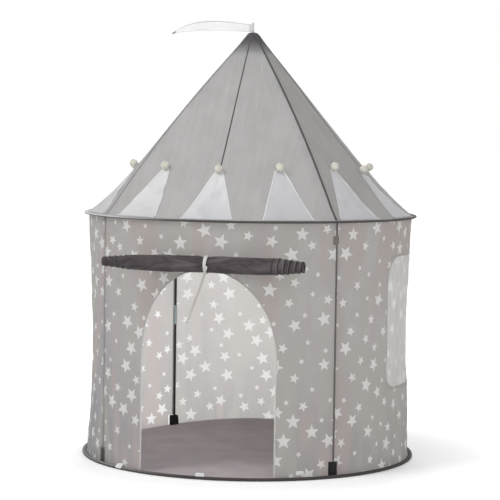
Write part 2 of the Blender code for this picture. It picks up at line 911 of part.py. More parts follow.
lead_shape = box_mesh("door_flap_lead", lead_half_width * both, cloth_thickness, lead_height)
lead_middle = -(lead_distance + cloth_thickness * half)
lead = add_object("door_flap_lead", lead_shape, roll_cloth_material, tent)
lead.location = (0.0, lead_middle, roll_height - lead_height * half)


# Header: from its curved seam on the wall to the straight back of the roll
def header_place(column, row):
    azimuth = station_angle * (column - header_columns * half)
    outwards = -(header_gap + cloth_thickness)
    seam = wall_point(0.0, front_waist, azimuth, header_top_height, outwards)
    if row == 0:
        return Vector((seam.x, -(lead_distance + header_gap), header_foot_height))
    return seam


header = add_object(
    "door_flap_header",
    grid_mesh("door_flap_header", header_columns, 1, header_place),
    roll_cloth_material,
    tent,
)
solidify(header, cloth_thickness, -1.0)

# Tie: a tape round the middle of the roll, and its free end
tie_radius = roll_outer_radius * roll_pinch_share + tie_gap
tie_points = [(tie_width * half, 0.0, tie_radius), (-tie_width * half, 0.0, tie_radius)]
tie = add_object("door_tie", profile_mesh("door_tie", tie_points, False), tape_cloth, tent)
tie.location = (tie_offset, -roll_distance, roll_height)
turn_profile(tie, tie_stations, "X")
solidify(tie, tie_thickness, 1.0)

tail_curve = bpy.data.curves.new("tie_tail", "CURVE")
tail_curve.dimensions = "3D"
tail_curve.bevel_depth = tail_radius
tail_curve.bevel_resolution = 1
tail_curve.use_fill_caps = True
tail_spline = tail_curve.splines.new("POLY")
tail_spline.points.add(tail_point_count - 1)
for number in range(tail_point_count):
    share = number / (tail_point_count - 1)
    sway = tail_sway * math.sin(math.pi * math.sqrt(share))
    place = (sway - tail_aside * share, -tail_outwards * share, -tail_fall * share)
    tail_spline.points[number].co = (*place, 1.0)
tail = bpy.data.objects.new("tie_tail", tail_curve)
tent.objects.link(tail)
tail_distance = roll_distance + tie_radius + tie_thickness + tail_gap + tail_radius
tail.location = (tie_offset + tail_lead, -tail_distance, roll_height - tail_start_drop)
tail_curve.materials.append(tape_cloth)

round_names = ("pole", "elbow", "wire", "binding", "tie", "roll", "wall", "roof", "apex", "flag")
for thing in tent.objects:
    if thing.type == "MESH" and any(word in thing.name for word in round_names):
        smooth(thing)
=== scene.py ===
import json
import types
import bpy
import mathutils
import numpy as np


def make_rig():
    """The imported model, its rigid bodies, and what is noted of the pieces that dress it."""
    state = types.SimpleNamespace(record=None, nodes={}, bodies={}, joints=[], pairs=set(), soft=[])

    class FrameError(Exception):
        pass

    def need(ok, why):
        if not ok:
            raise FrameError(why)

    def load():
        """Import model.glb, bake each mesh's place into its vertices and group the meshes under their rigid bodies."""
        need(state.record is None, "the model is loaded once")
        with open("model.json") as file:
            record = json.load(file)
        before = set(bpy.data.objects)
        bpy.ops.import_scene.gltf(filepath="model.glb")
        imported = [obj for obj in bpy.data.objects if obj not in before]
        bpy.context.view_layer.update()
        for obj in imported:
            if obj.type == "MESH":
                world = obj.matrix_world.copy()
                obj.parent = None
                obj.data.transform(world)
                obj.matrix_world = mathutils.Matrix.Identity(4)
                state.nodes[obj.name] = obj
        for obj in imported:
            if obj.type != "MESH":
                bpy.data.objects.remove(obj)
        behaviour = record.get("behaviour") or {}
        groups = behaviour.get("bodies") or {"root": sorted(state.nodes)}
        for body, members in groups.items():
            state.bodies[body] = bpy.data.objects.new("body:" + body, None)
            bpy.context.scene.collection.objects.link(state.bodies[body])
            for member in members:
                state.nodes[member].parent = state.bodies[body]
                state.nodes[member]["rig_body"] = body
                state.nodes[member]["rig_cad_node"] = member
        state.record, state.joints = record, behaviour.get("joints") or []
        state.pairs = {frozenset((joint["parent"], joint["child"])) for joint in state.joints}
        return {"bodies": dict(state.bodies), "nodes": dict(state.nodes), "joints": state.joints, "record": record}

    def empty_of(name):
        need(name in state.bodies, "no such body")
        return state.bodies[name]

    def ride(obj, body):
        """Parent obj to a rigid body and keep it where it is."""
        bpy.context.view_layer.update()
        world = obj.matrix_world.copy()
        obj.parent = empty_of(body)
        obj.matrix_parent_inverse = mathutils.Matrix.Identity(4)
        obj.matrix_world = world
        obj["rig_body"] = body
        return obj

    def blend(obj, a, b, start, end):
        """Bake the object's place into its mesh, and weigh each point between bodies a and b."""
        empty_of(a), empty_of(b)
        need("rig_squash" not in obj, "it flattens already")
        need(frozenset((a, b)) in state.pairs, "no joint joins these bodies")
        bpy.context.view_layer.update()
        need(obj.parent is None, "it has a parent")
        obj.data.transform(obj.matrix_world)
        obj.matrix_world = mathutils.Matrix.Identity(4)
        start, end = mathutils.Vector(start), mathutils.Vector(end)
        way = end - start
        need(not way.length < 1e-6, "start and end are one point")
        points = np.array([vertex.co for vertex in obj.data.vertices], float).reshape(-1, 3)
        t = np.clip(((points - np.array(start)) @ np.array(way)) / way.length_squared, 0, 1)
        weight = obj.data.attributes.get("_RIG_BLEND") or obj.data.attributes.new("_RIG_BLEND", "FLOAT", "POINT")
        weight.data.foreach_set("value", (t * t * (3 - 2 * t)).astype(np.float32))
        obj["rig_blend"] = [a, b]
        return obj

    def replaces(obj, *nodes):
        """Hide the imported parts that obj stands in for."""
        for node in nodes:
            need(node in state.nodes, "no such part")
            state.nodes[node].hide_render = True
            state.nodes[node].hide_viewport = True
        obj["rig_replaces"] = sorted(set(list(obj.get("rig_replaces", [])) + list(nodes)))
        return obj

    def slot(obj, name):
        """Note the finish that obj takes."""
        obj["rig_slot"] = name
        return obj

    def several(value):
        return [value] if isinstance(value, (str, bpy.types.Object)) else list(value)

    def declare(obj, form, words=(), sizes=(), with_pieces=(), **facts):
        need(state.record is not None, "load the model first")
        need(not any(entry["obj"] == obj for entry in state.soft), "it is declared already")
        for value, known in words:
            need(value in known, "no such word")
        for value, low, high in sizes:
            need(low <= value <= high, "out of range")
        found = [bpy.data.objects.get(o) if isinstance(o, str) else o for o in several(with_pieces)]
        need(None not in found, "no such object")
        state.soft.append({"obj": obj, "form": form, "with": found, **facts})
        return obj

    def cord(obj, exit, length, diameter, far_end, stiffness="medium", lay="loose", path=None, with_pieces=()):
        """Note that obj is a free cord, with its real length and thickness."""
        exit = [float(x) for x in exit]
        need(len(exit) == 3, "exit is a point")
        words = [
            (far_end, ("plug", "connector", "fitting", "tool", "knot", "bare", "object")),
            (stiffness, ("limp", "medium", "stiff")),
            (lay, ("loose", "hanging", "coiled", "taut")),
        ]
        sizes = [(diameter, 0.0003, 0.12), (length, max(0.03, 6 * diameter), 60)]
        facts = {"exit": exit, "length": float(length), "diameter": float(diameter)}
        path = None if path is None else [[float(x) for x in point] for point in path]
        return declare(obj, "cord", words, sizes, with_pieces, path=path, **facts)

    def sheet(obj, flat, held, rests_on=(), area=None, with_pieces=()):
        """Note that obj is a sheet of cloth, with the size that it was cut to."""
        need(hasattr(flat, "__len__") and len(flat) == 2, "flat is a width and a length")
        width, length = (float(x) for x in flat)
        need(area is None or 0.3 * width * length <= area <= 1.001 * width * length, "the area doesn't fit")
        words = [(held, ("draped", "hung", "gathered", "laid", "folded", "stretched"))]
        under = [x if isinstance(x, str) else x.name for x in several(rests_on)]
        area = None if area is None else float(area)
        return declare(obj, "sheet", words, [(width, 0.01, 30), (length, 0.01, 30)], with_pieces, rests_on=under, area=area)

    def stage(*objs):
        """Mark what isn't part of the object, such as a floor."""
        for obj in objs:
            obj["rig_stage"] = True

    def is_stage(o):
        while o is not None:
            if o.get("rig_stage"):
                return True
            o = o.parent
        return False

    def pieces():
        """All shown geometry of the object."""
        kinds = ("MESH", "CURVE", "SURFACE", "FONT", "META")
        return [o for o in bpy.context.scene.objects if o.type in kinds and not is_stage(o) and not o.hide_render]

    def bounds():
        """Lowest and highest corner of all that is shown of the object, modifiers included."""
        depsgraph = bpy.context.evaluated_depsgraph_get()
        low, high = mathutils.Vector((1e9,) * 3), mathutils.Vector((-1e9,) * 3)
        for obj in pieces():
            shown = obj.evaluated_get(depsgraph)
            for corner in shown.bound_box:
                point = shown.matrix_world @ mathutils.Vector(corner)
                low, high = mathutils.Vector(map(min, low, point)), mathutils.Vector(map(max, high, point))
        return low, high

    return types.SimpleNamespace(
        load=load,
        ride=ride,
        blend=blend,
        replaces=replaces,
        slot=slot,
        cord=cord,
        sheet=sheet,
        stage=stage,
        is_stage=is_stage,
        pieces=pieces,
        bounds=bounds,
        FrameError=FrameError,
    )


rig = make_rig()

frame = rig.load()

import json
import random
from math import asin, atan2, copysign, cos, degrees, dist, exp, floor, hypot, pi, radians, sin, sqrt

import bmesh
import bpy
from mathutils import Matrix, Vector, noise

cad_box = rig.bounds()
scene = bpy.context.scene
nodes = frame["nodes"]
UP, FRONT = Vector((0.0, 0.0, 1.0)), Vector((0.0, -1.0, 0.0))
TURN = 2 * pi
# How near to the rim of a hole a corner of a grid has to lie to be moved onto it
RIM_REACH = 0.012


# --- small helpers
def clamp(x, low=0.0, high=1.0):
    return max(low, min(high, x))


def ease(x, start, end):
    t = clamp((x - start) / (end - start))
    return t * t * (3 - 2 * t)


def bell(x, width):
    return exp(-((x / width) ** 2))


def direction(azimuth):
    turn = radians(azimuth)
    return Vector((sin(turn), -cos(turn), 0.0))


def polar(radius, azimuth, height):
    return direction(azimuth) * radius + UP * height


def stops(start, end, step):
    count = max(1, round(abs(end - start) / step))
    return [start + (end - start) * i / count for i in range(count + 1)]


def ripple(x, y, seed):
    return noise.noise(Vector((x, y, seed * 7.31 + 0.5)))


def circle(count, radius=1.0):
    return [(radius * cos(TURN * m / count), radius * sin(TURN * m / count)) for m in range(count)]


def squared(count, power, up_power=None):
    """A ring between a circle and a square: the lower the powers, the squarer."""
    up_power = up_power or power
    return [
        (copysign(abs(c) ** power, c), copysign(abs(s) ** up_power, s)) for c, s in circle(count)
    ]


def link(name, data):
    thing = bpy.data.objects.new(name, data)
    scene.collection.objects.link(thing)
    return thing


def add_piece(mesh, material, slot, node=None, body="tent", matrix=None, name=None):
    """Adds a piece that rides on a body, and that replaces a CAD node if one is named."""
    thing = link(name or mesh.name, mesh)
    if material is not None:
        mesh.materials.append(material)
    if matrix is not None:
        thing.matrix_world = matrix
    if body:
        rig.ride(thing, body)
    if node:
        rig.replaces(thing, node)
    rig.slot(thing, slot)
    return thing


def build(name, points, faces, uvs=None):
    # points: places; faces: corner numbers; uvs: one pair for each corner number of each face
    mesh = bpy.data.meshes.new(name)
    mesh.from_pydata([tuple(p) for p in points], [], faces)
    if uvs is not None:
        flat = [value for face in uvs for pair in face for value in pair]
        mesh.uv_layers.new(name="UVMap").data.foreach_set("uv", flat)
        mesh.polygons.foreach_set("use_smooth", [True] * len(mesh.polygons))
    mesh.update()
    return mesh


def join_close(mesh, distance, outwards=False):
    work = bmesh.new()
    work.from_mesh(mesh)
    bmesh.ops.remove_doubles(work, verts=work.verts, dist=distance)
    if outwards:
        bmesh.ops.recalc_face_normals(work, faces=work.faces)
    work.to_mesh(mesh)
    work.free()
    return mesh


def grid(name, us, vs, place, uv, skip=None, distance=None, flat=None, unflat=None):
    """A fine net of faces over the stops us and vs. Cells whose middle has a distance below zero
    are left out, and the rim of the hole is moved onto the line where the distance is zero."""
    nu, nv = len(us), len(vs)
    at = {(i, j): (us[i], vs[j]) for i in range(nu) for j in range(nv)}
    cells = [(i, j) for i in range(nu - 1) for j in range(nv - 1)]
    gone = set()
    for i, j in cells:
        middle = (us[i] + us[i + 1]) / 2, (vs[j] + vs[j + 1]) / 2
        if (skip and skip(*middle)) or (distance and distance(*flat(*middle)) < 0):
            gone.add((i, j))
    for i, j in list(at) if distance else []:
        near = [
            (a, b) for a in (i - 1, i) for b in (j - 1, j) if 0 <= a < nu - 1 and 0 <= b < nv - 1
        ]
        if not 0 < sum(cell in gone for cell in near) < len(near):
            continue
        x, z = flat(*at[i, j])
        if abs(distance(x, z)) > RIM_REACH:
            continue
        h = 1e-5
        for _ in range(4):
            d = distance(x, z)
            gx = (distance(x + h, z) - distance(x - h, z)) / (2 * h)
            gz = (distance(x, z + h) - distance(x, z - h)) / (2 * h)
            size = max(gx * gx + gz * gz, 1e-6)
            x, z = x - d * gx / size, z - d * gz / size
        at[i, j] = unflat(x, z, at[i, j])
    number, points, pairs, faces = {}, [], [], []
    for i, j in cells:
        if (i, j) in gone:
            continue
        for key in ((i, j), (i + 1, j), (i + 1, j + 1), (i, j + 1)):
            if key not in number:
                number[key] = len(points)
                points.append(place(*at[key]))
                pairs.append(uv(*at[key]))
        faces.append([number[key] for key in ((i, j), (i + 1, j), (i + 1, j + 1), (i, j + 1))])
    return build(name, points, faces, [[pairs[c] for c in face] for face in faces])


def shell(loops, uv, ring=False, flip=True, caps=(False, False), first=0):
    """Points, faces and uvs between closed loops of places. uv takes the loop, the step and the
    place. caps closes the first and the last loop. first is the number of the first point."""
    n, points = len(loops[0]), [p for loop in loops for p in loop]
    faces, uvs = [], []
    for k in range(len(loops) if ring else len(loops) - 1):
        for m in range(n):
            steps = [(k, m), (k, m + 1), (k + 1, m + 1), (k + 1, m)]
            if not flip:
                steps = [steps[0], steps[3], steps[2], steps[1]]
            corners = [i % len(loops) * n + j % n for i, j in steps]
            faces.append([first + c for c in corners])
            uvs.append([uv(i, j, points[c]) for (i, j), c in zip(steps, corners)])
    for k, wanted in zip((0, len(loops) - 1), caps):
        if wanted:
            order = list(range(n))
            if flip == (k == 0):
                order.reverse()
            faces.append([first + k * n + m for m in order])
            uvs.append([uv(k, m, points[k * n + m]) for m in order])
    return points, faces, uvs


def lengths_round(shape):
    around = [0.0]
    for a, b in zip(shape, shape[1:] + shape[:1]):
        around.append(around[-1] + hypot(a[0] - b[0], a[1] - b[1]))
    return around


def sweep(name, frames, section, ring=False):
    """A section of (a, b) pairs carried along frames of (place, side, out). Ends are closed."""
    loops, along = [], [0.0]
    for k, (place, side, out) in enumerate(frames):
        shape = section(k / max(1, len(frames) - 1)) if callable(section) else section
        loops.append([place + side * a + out * b for a, b in shape])
        along.append(along[-1] + (frames[(k + 1) % len(frames)][0] - place).length)
    around = lengths_round(section(0.0) if callable(section) else section)

    def uv(k, m, place):
        return along[k], around[m]

    return build(name, *shell(loops, uv, ring, flip=False, caps=(not ring, not ring)))


def frames_along(places, outs, ring=False):
    """Frames for a tape that is swept along places, with its face towards outs."""
    frames, last = [], len(places) - 1
    for k, place in enumerate(places):
        before, after = (k - 1, k + 1) if ring else (max(k - 1, 0), min(k + 1, last))
        along = (places[after % len(places)] - places[before]).normalized()
        side = along.cross(outs[k]).normalized()
        frames.append((place, side, side.cross(along).normalized()))
    return frames


def lens(half, shoulder, thick, middle):
    # The section of a flat tape, thickest in its middle
    upper = [(-shoulder, thick), (0.0, middle), (shoulder, thick)]
    return [(-half, 0.0), *upper, (half, 0.0), *((-a, -b) for a, b in upper)]


def thicken(piece, thickness, offset):
    modifier = piece.modifiers.new("cloth", "SOLIDIFY")
    modifier.thickness, modifier.offset = thickness, offset


# --- camera
def make_camera():
    turn, pitch, roll = (radians(a) for a in (14.9236, 3.8142, 0.8019))
    away, height, focal_pixels, picture_pixels, sensor = 6.2, 1.0584, 1957.8, 500, 36.0
    across = Vector((cos(turn), sin(turn), 0.0))
    ahead = Vector((-sin(turn), cos(turn), 0.0))
    view = ahead * cos(pitch) - UP * sin(pitch)
    upward = UP * cos(pitch) + ahead * sin(pitch)
    right = across * cos(roll) + upward * sin(roll)
    top = upward * cos(roll) - across * sin(roll)
    data = bpy.data.cameras.new("photo_camera")
    data.sensor_width = sensor
    data.lens = focal_pixels / picture_pixels * sensor
    data.clip_start, data.clip_end = 0.1, 100.0
    camera = link("photo_camera", data)
    matrix = Matrix((right, top, -view)).transposed().to_4x4()
    matrix.translation = ahead * -away + UP * height
    camera.matrix_world = matrix
    scene.camera = camera


make_camera()


# --- material helpers
def sum_of(operation, swapped=False):
    def apply(self, other):
        return self.tree.math(operation, *((other, self) if swapped else (self, other)))

    return apply


class Value:
    """An output socket that sums can be done with."""

    def __init__(self, tree, socket):
        self.tree, self.socket = tree, socket

    __add__ = __radd__ = sum_of("ADD")
    __mul__ = __rmul__ = sum_of("MULTIPLY")
    __sub__, __rsub__ = sum_of("SUBTRACT"), sum_of("SUBTRACT", swapped=True)
    __truediv__ = sum_of("DIVIDE")

    def __abs__(self):
        return self.tree.math("ABSOLUTE", self)


class Tree:
    """The nodes of a material or world. What goes into a node is a Value or a constant."""

    def __init__(self, name, owners=bpy.data.materials, end="OutputMaterial"):
        self.owner = owners.new(name)
        self.owner.use_nodes = True
        self.tree = self.owner.node_tree
        self.tree.nodes.clear()
        self.end = self.tree.nodes.new("ShaderNode" + end)

    def put(self, socket, value):
        if isinstance(value, Value):
            self.tree.links.new(value.socket, socket)
        elif isinstance(value, tuple) and len(value) == 3 and socket.type == "RGBA":
            socket.default_value = (*value, 1.0)
        else:
            socket.default_value = value

    def node(self, kind, options=None, numbered=(), out=0, **named):
        """The output out of a new node, or with out=None a way to its outputs by name."""
        made = self.tree.nodes.new("ShaderNode" + kind)
        for key, value in (options or {}).items():
            setattr(made, key, value)
        for key, value in dict(numbered).items():
            self.put(made.inputs[key], value)
        for key, value in named.items():
            self.put(made.inputs[key.replace("_", " ")], value)
        if out is None:
            return lambda key: Value(self, made.outputs[key])
        return Value(self, made.outputs[out])

    def math(self, operation, *values):
        return self.node("Math", {"operation": operation}, enumerate(values))

    def vector(self, operation, *values):
        out = "Value" if operation == "LENGTH" else "Vector"
        return self.node("VectorMath", {"operation": operation}, enumerate(values), out)

    def span(self, value, low, high, to_low=0.0, to_high=1.0, smooth=True):
        options = {"interpolation_type": "SMOOTHSTEP" if smooth else "LINEAR"}
        limits = {"From_Min": low, "From_Max": high, "To_Min": to_low, "To_Max": to_high}
        return self.node("MapRange", options, out="Result", Value=value, **limits)

    def mix(self, factor, first, second, blend="MIX"):
        options = {"data_type": "RGBA", "blend_type": blend}
        return self.node("Mix", options, {0: factor, 6: first, 7: second}, 2)

    def mix_shader(self, factor, first, second):
        return self.node("MixShader", None, {0: factor, 1: first, 2: second})

    def noise(self, vector, scale, detail=3.0, rough=0.5, stretch=None):
        if stretch:
            vector = self.vector("MULTIPLY", vector, stretch)
        pattern = {"Scale": scale, "Detail": detail, "Roughness": rough}
        return self.node("TexNoise", out="Fac", Vector=vector, **pattern)

    def uv(self):
        return self.node("UVMap", {"uv_map": "UVMap"}, out="UV")

    def place(self):
        # The body's own space at rest, so that the print moves with its cloth
        return self.node("TexCoord", out="Object")

    def split(self, vector):
        parts = self.node("SeparateXYZ", out=None, Vector=vector)
        return parts(0), parts(1), parts(2)

    def threads(self, uv, pitch):
        # Over and under of a plain weave: -1 to 1
        u, v, _ = self.split(uv)
        return self.math("SINE", u * (TURN / pitch)) * self.math("SINE", v * (TURN / pitch))

    def weave(self, uv, pitch):
        return self.threads(uv, pitch) * 0.5 + 0.5

    def bump(self, height, distance, **normal):
        depth = {"Height": height, "Distance": distance, "Strength": 1.0}
        return self.node("Bump", out="Normal", **depth, **normal)

    def surface(self, shade, rough, normal, **more):
        return self.node("BsdfPrincipled", Base_Color=shade, Roughness=rough, Normal=normal, **more)

    def finish(self, shader):
        self.put(self.end.inputs["Surface"], shader)
        return self.owner


def tint(colour, share):
    shares = share if isinstance(share, tuple) else (share,) * 3
    return tuple(clamp(c * s) for c, s in zip(colour, shares))


def star_mask(t, uv, cell=0.0625, loose=0.46, largest=0.0245, smallest=0.0080):
    """Scattered five-pointed stars: one in each cell of a loose pattern, no wider than its room."""
    # The rows of cells run aslant, so that they don't show
    uv = t.node("VectorRotate", {"rotation_type": "Z_AXIS"}, Vector=uv, Angle=0.47)

    def cells(feature, vector):
        options = {"voronoi_dimensions": "2D", "feature": feature}
        pattern = {"Scale": 1 / cell, "Detail": 0.0, "Randomness": loose}
        return t.node("TexVoronoi", options, out=None, Vector=vector, **pattern)

    nearest = cells("F1", uv)
    middle = nearest("Position")
    room = cells("DISTANCE_TO_EDGE", middle)("Distance") * cell
    red, green, _ = t.split(nearest("Color"))
    # Three sizes: small, middling and large
    share = t.math("GREATER_THAN", green, 0.30) * 0.27 + 0.40
    share = t.math("GREATER_THAN", green, 0.58) * 0.33 + share
    size = t.math("MAXIMUM", t.math("MINIMUM", room, share * largest), smallest)
    away = t.vector("SUBTRACT", uv, middle)
    x, y, _ = t.split(away)
    # Towards a tip is 0 in each fifth of the turn
    fifth = TURN / 5
    angle = t.math("FLOORED_MODULO", red * TURN + t.math("ARCTAN2", y, x), fifth)
    towards = fifth / 2 - abs(angle - fifth / 2)
    # The side of a point faces this far round from its tip, and lies this share of the size off
    side_turn, side_off = 1.1766, 0.3841
    edge = t.vector("LENGTH", away) * t.math("COSINE", towards - side_turn)
    grain = t.noise(uv, 900.0, 1.0) * 0.0006 - 0.0003
    return t.span(size * side_off - edge + grain, -0.0004, 0.0005)


def cloth(
    name, colour, share=0.6, pitch=0.0011, rough=0.85, sheen=0.15, mottle=0.05, gloss=0.25,
    stars=None, star_colour=None, extra=None,
):
    """Thin woven cloth: light comes back from it and through it. share is how much goes through."""
    t = Tree(name)
    uv = t.uv()
    weave, soft = t.weave(uv, pitch), t.noise(uv, 9.0, 3.0, 0.55)
    fine = t.noise(uv, 420.0, 2.0, 0.6)
    shade = t.mix(t.span(soft, 0.3, 0.7), tint(colour, 1 - mottle), tint(colour, 1 + mottle))
    shade = t.mix(fine * 0.16, shade, tint(colour, 0.72))
    shade = t.mix(weave * 0.10, shade, tint(colour, 1.25))
    height = fine * 0.35 + weave * 0.65
    rough_at = fine * 0.10 + (rough - 0.05)
    if stars is not None:
        # Painted shade: greyer towards the ground
        low = t.span(t.split(uv)[1], 0.02, 0.42, 0.70, 0.0)
        shade = t.mix(low, shade, tint(colour, (0.800, 0.815, 0.835)))
        # Painted shade: darker and cooler at the front left
        x, y, z = t.split(t.place())
        dull = t.span(x, -0.42, -0.16, 1.0, 0.0) * t.span(y, -0.06, 0.06, 1.0, 0.0)
        dull = dull * t.span(z, 0.25, 0.74, 1.0, 0.4)
        shade = t.mix(dull, shade, (0.855, 0.885, 0.945), "MULTIPLY")
        # Drifting between warmer and cooler
        uv_here = t.vector("ADD", uv, stars)
        drift = t.noise(uv_here, 5.0, 2.0, 0.5, (1.9, 0.42, 1.0))
        warmer, cooler = (tint(colour, c) for c in ((0.985, 0.930, 0.925), (0.965, 0.985, 0.955)))
        shade = t.mix(t.span(drift, 0.38, 0.50, 1.0, 0.0), shade, warmer)
        shade = t.mix(t.span(drift, 0.50, 0.62, 0.0, 0.9), shade, cooler)
        mask = star_mask(t, uv_here)
        shade = t.mix(mask, shade, t.mix(fine * 0.20, star_colour, tint(star_colour, 0.86)))
        height = mask * 0.35 + height
        rough_at = mask * -0.12 + rough_at
    if extra is not None:
        shade = extra(t, uv, shade)
    normal = t.bump(height, 0.0004)
    face = t.surface(
        shade, rough_at, normal, Sheen_Weight=sheen, Sheen_Roughness=0.5, Specular_IOR_Level=gloss
    )
    if not share:
        return t.finish(face)
    through = t.node("BsdfTranslucent", Color=shade, Normal=normal)
    return t.finish(t.mix_shader(share, face, through))


def tape(
    name, colour, rows=(), stitches=None, share=0.0, pitch=0.0009, rough=0.8, sheen=0.05, more=None
):
    """Narrow woven tape. rows are where its stitching lies across it, stitches is its colour."""

    def sew(t, uv, shade):
        u, v, _ = t.split(uv)
        stitch, sewn_share, half_thread = 0.0042, 0.68, 0.00035
        dash = t.math("LESS_THAN", t.math("FRACT", u / stitch), sewn_share)
        for row in rows:
            shade = t.mix(t.math("LESS_THAN", abs(v - row), half_thread) * dash, shade, stitches)
        return more(t, uv, shade) if more else shade

    return cloth(name, colour, share, pitch, rough, sheen, mottle=0.08, gloss=0.2, extra=sew)


# --- the tie's free end: a flat tape
TIE_X = 0.0135
TAIL_START, TAIL_FALL = Vector((TIE_X + 0.0035, -0.5672, 0.6320)), Vector((-0.053, -0.0028, -0.167))
TAIL_WIDTH, TAIL_THICK = 0.0075, 0.00055


def make_tail(material):
    count = 36
    line = []
    for share in stops(0.0, 1.0, 1 / count):
        bend = Vector((0.006 * sin(pi * sqrt(share)), 0.0, 0.0))
        line.append(TAIL_START + TAIL_FALL * share + bend)
    outs = [direction(14 * sin(3.1 * k / count) + 6) for k in range(count + 1)]
    frames = [(place, side, -out) for place, side, out in frames_along(line, outs)]

    def section(share):
        half = TAIL_WIDTH / 2 * (1.0 - 0.22 * share)
        return [(half * a, TAIL_THICK * b) for a, b in squared(16, 0.6)]

    piece = add_piece(sweep("tie_tail_tape", frames, section), material, "tape_cloth", "tie_tail")
    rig.cord(
        piece,
        exit=tuple(TAIL_START),
        length=round(sum((b - a).length for a, b in zip(line, line[1:])), 3),
        diameter=TAIL_WIDTH,
        far_end="bare",
        stiffness="limp",
        lay="hanging",
        path=[tuple(p) for p in line],
    )


tape_white = tape("tape_white", (0.80, 0.78, 0.75), share=0.35, pitch=0.0012, rough=0.75)
make_tail(tape("tail_grey", (0.44, 0.42, 0.405), pitch=0.0012, rough=0.75))

# --- sizes, as in part.py
OUTER, WALL = 0.525, 0.510
FOOT, EAVE, ROOF_TOP, ROOF_TIP = 0.0026, 0.7608, 1.3285, 0.014
# Half the slit between two panels, and the slit between the walls or the roof and the eave
SLIT, EAVE_SLIT = 0.0004, 0.0008
WALL_TOP, ROOF_FOOT = EAVE - EAVE_SLIT, EAVE + EAVE_SLIT
SEAM, NOTCH, NOTCH_TOP = degrees(SLIT / WALL), degrees(0.0170 / WALL), 0.0485
# The front left rod stands this far to -X and to -Y
ROD = 0.357
ROOF_SLANT = hypot(WALL - ROOF_TIP, ROOF_TOP - EAVE)
LEAN_IN, LEAN_UP = (WALL - ROOF_TIP) / ROOF_SLANT, (ROOF_TOP - EAVE) / ROOF_SLANT
ARCH_HALF, ARCH_RISE, ARCH_SPRING = 0.2085, 0.255, 0.365
PANE_HALF, PANE_TALL, PANE_MIDDLE = 0.158, 0.201, 0.446
PANE_CORNER, PANE_TOP_LEFT = 0.050, 0.072
CORNERS = {"front_right": 45.0, "back_right": 135.0, "back_left": -135.0, "front_left": -45.0}
HOOPS = ["floor_hoop_binding", "eave_hoop_binding"]
# Each panel's middle azimuth, how far its waist is drawn in, and its seed
PANELS = {
    "wall_front": (0.0, 0.010, 1.0),
    "wall_right": (90.0, 0.011, 2.0),
    "wall_back": (180.0, 0.014, 3.0),
    "wall_left": (-90.0, 0.018, 4.0),
}
# Creases pulled into the cloth: from (azimuth, height), to (azimuth, height), width, depth
CREASES = {
    "wall_right": [
        ((53.4, 0.68), (70.0, 0.46), 0.011, 0.0046),
        ((71.8, 0.74), (71.0, 0.62), 0.009, 0.0034),
        ((78.2, 0.23), (86.0, 0.06), 0.011, 0.0040),
        ((47.0, 0.30), (66.0, 0.37), 0.009, 0.0030),
        ((50.0, 0.10), (62.0, 0.24), 0.012, 0.0034),
        ((112.0, 0.20), (128.0, 0.08), 0.014, 0.0034),
    ],
    "wall_left": [
        ((-50.5, 0.72), (-54.0, 0.10), 0.009, 0.0050),
        ((-58.0, 0.66), (-60.0, 0.06), 0.012, 0.0052),
        ((-66.0, 0.52), (-69.0, 0.10), 0.012, 0.0040),
        ((-76.0, 0.70), (-74.0, 0.16), 0.016, 0.0044),
    ],
    "wall_back": [
        ((-138.0, 0.70), (-141.0, 0.08), 0.010, 0.0042),
        ((-144.0, 0.66), (-148.0, 0.10), 0.012, 0.0036),
        ((-156.0, 0.60), (-154.0, 0.14), 0.020, 0.0026),
        ((150.0, 0.66), (153.0, 0.10), 0.018, 0.0026),
    ],
    "wall_front": [
        ((-41.0, 0.72), (-30.0, 0.58), 0.012, 0.0030),
        ((41.0, 0.72), (29.0, 0.56), 0.012, 0.0030),
        ((-38.0, 0.08), (-29.0, 0.24), 0.011, 0.0028),
        ((36.0, 0.50), (34.0, 0.20), 0.012, 0.0026),
    ],
}


# --- walls
def from_middle(azimuth, centre):
    # Degrees from a panel's middle, the shorter way round
    away = azimuth - centre
    return away - 360 * round(away / 360)


def over_pocket(z):
    # How far the cloth at the front left stands out over the pocket behind it
    return 0.0018 * ease(0.058 - z, 0.0, 0.008)


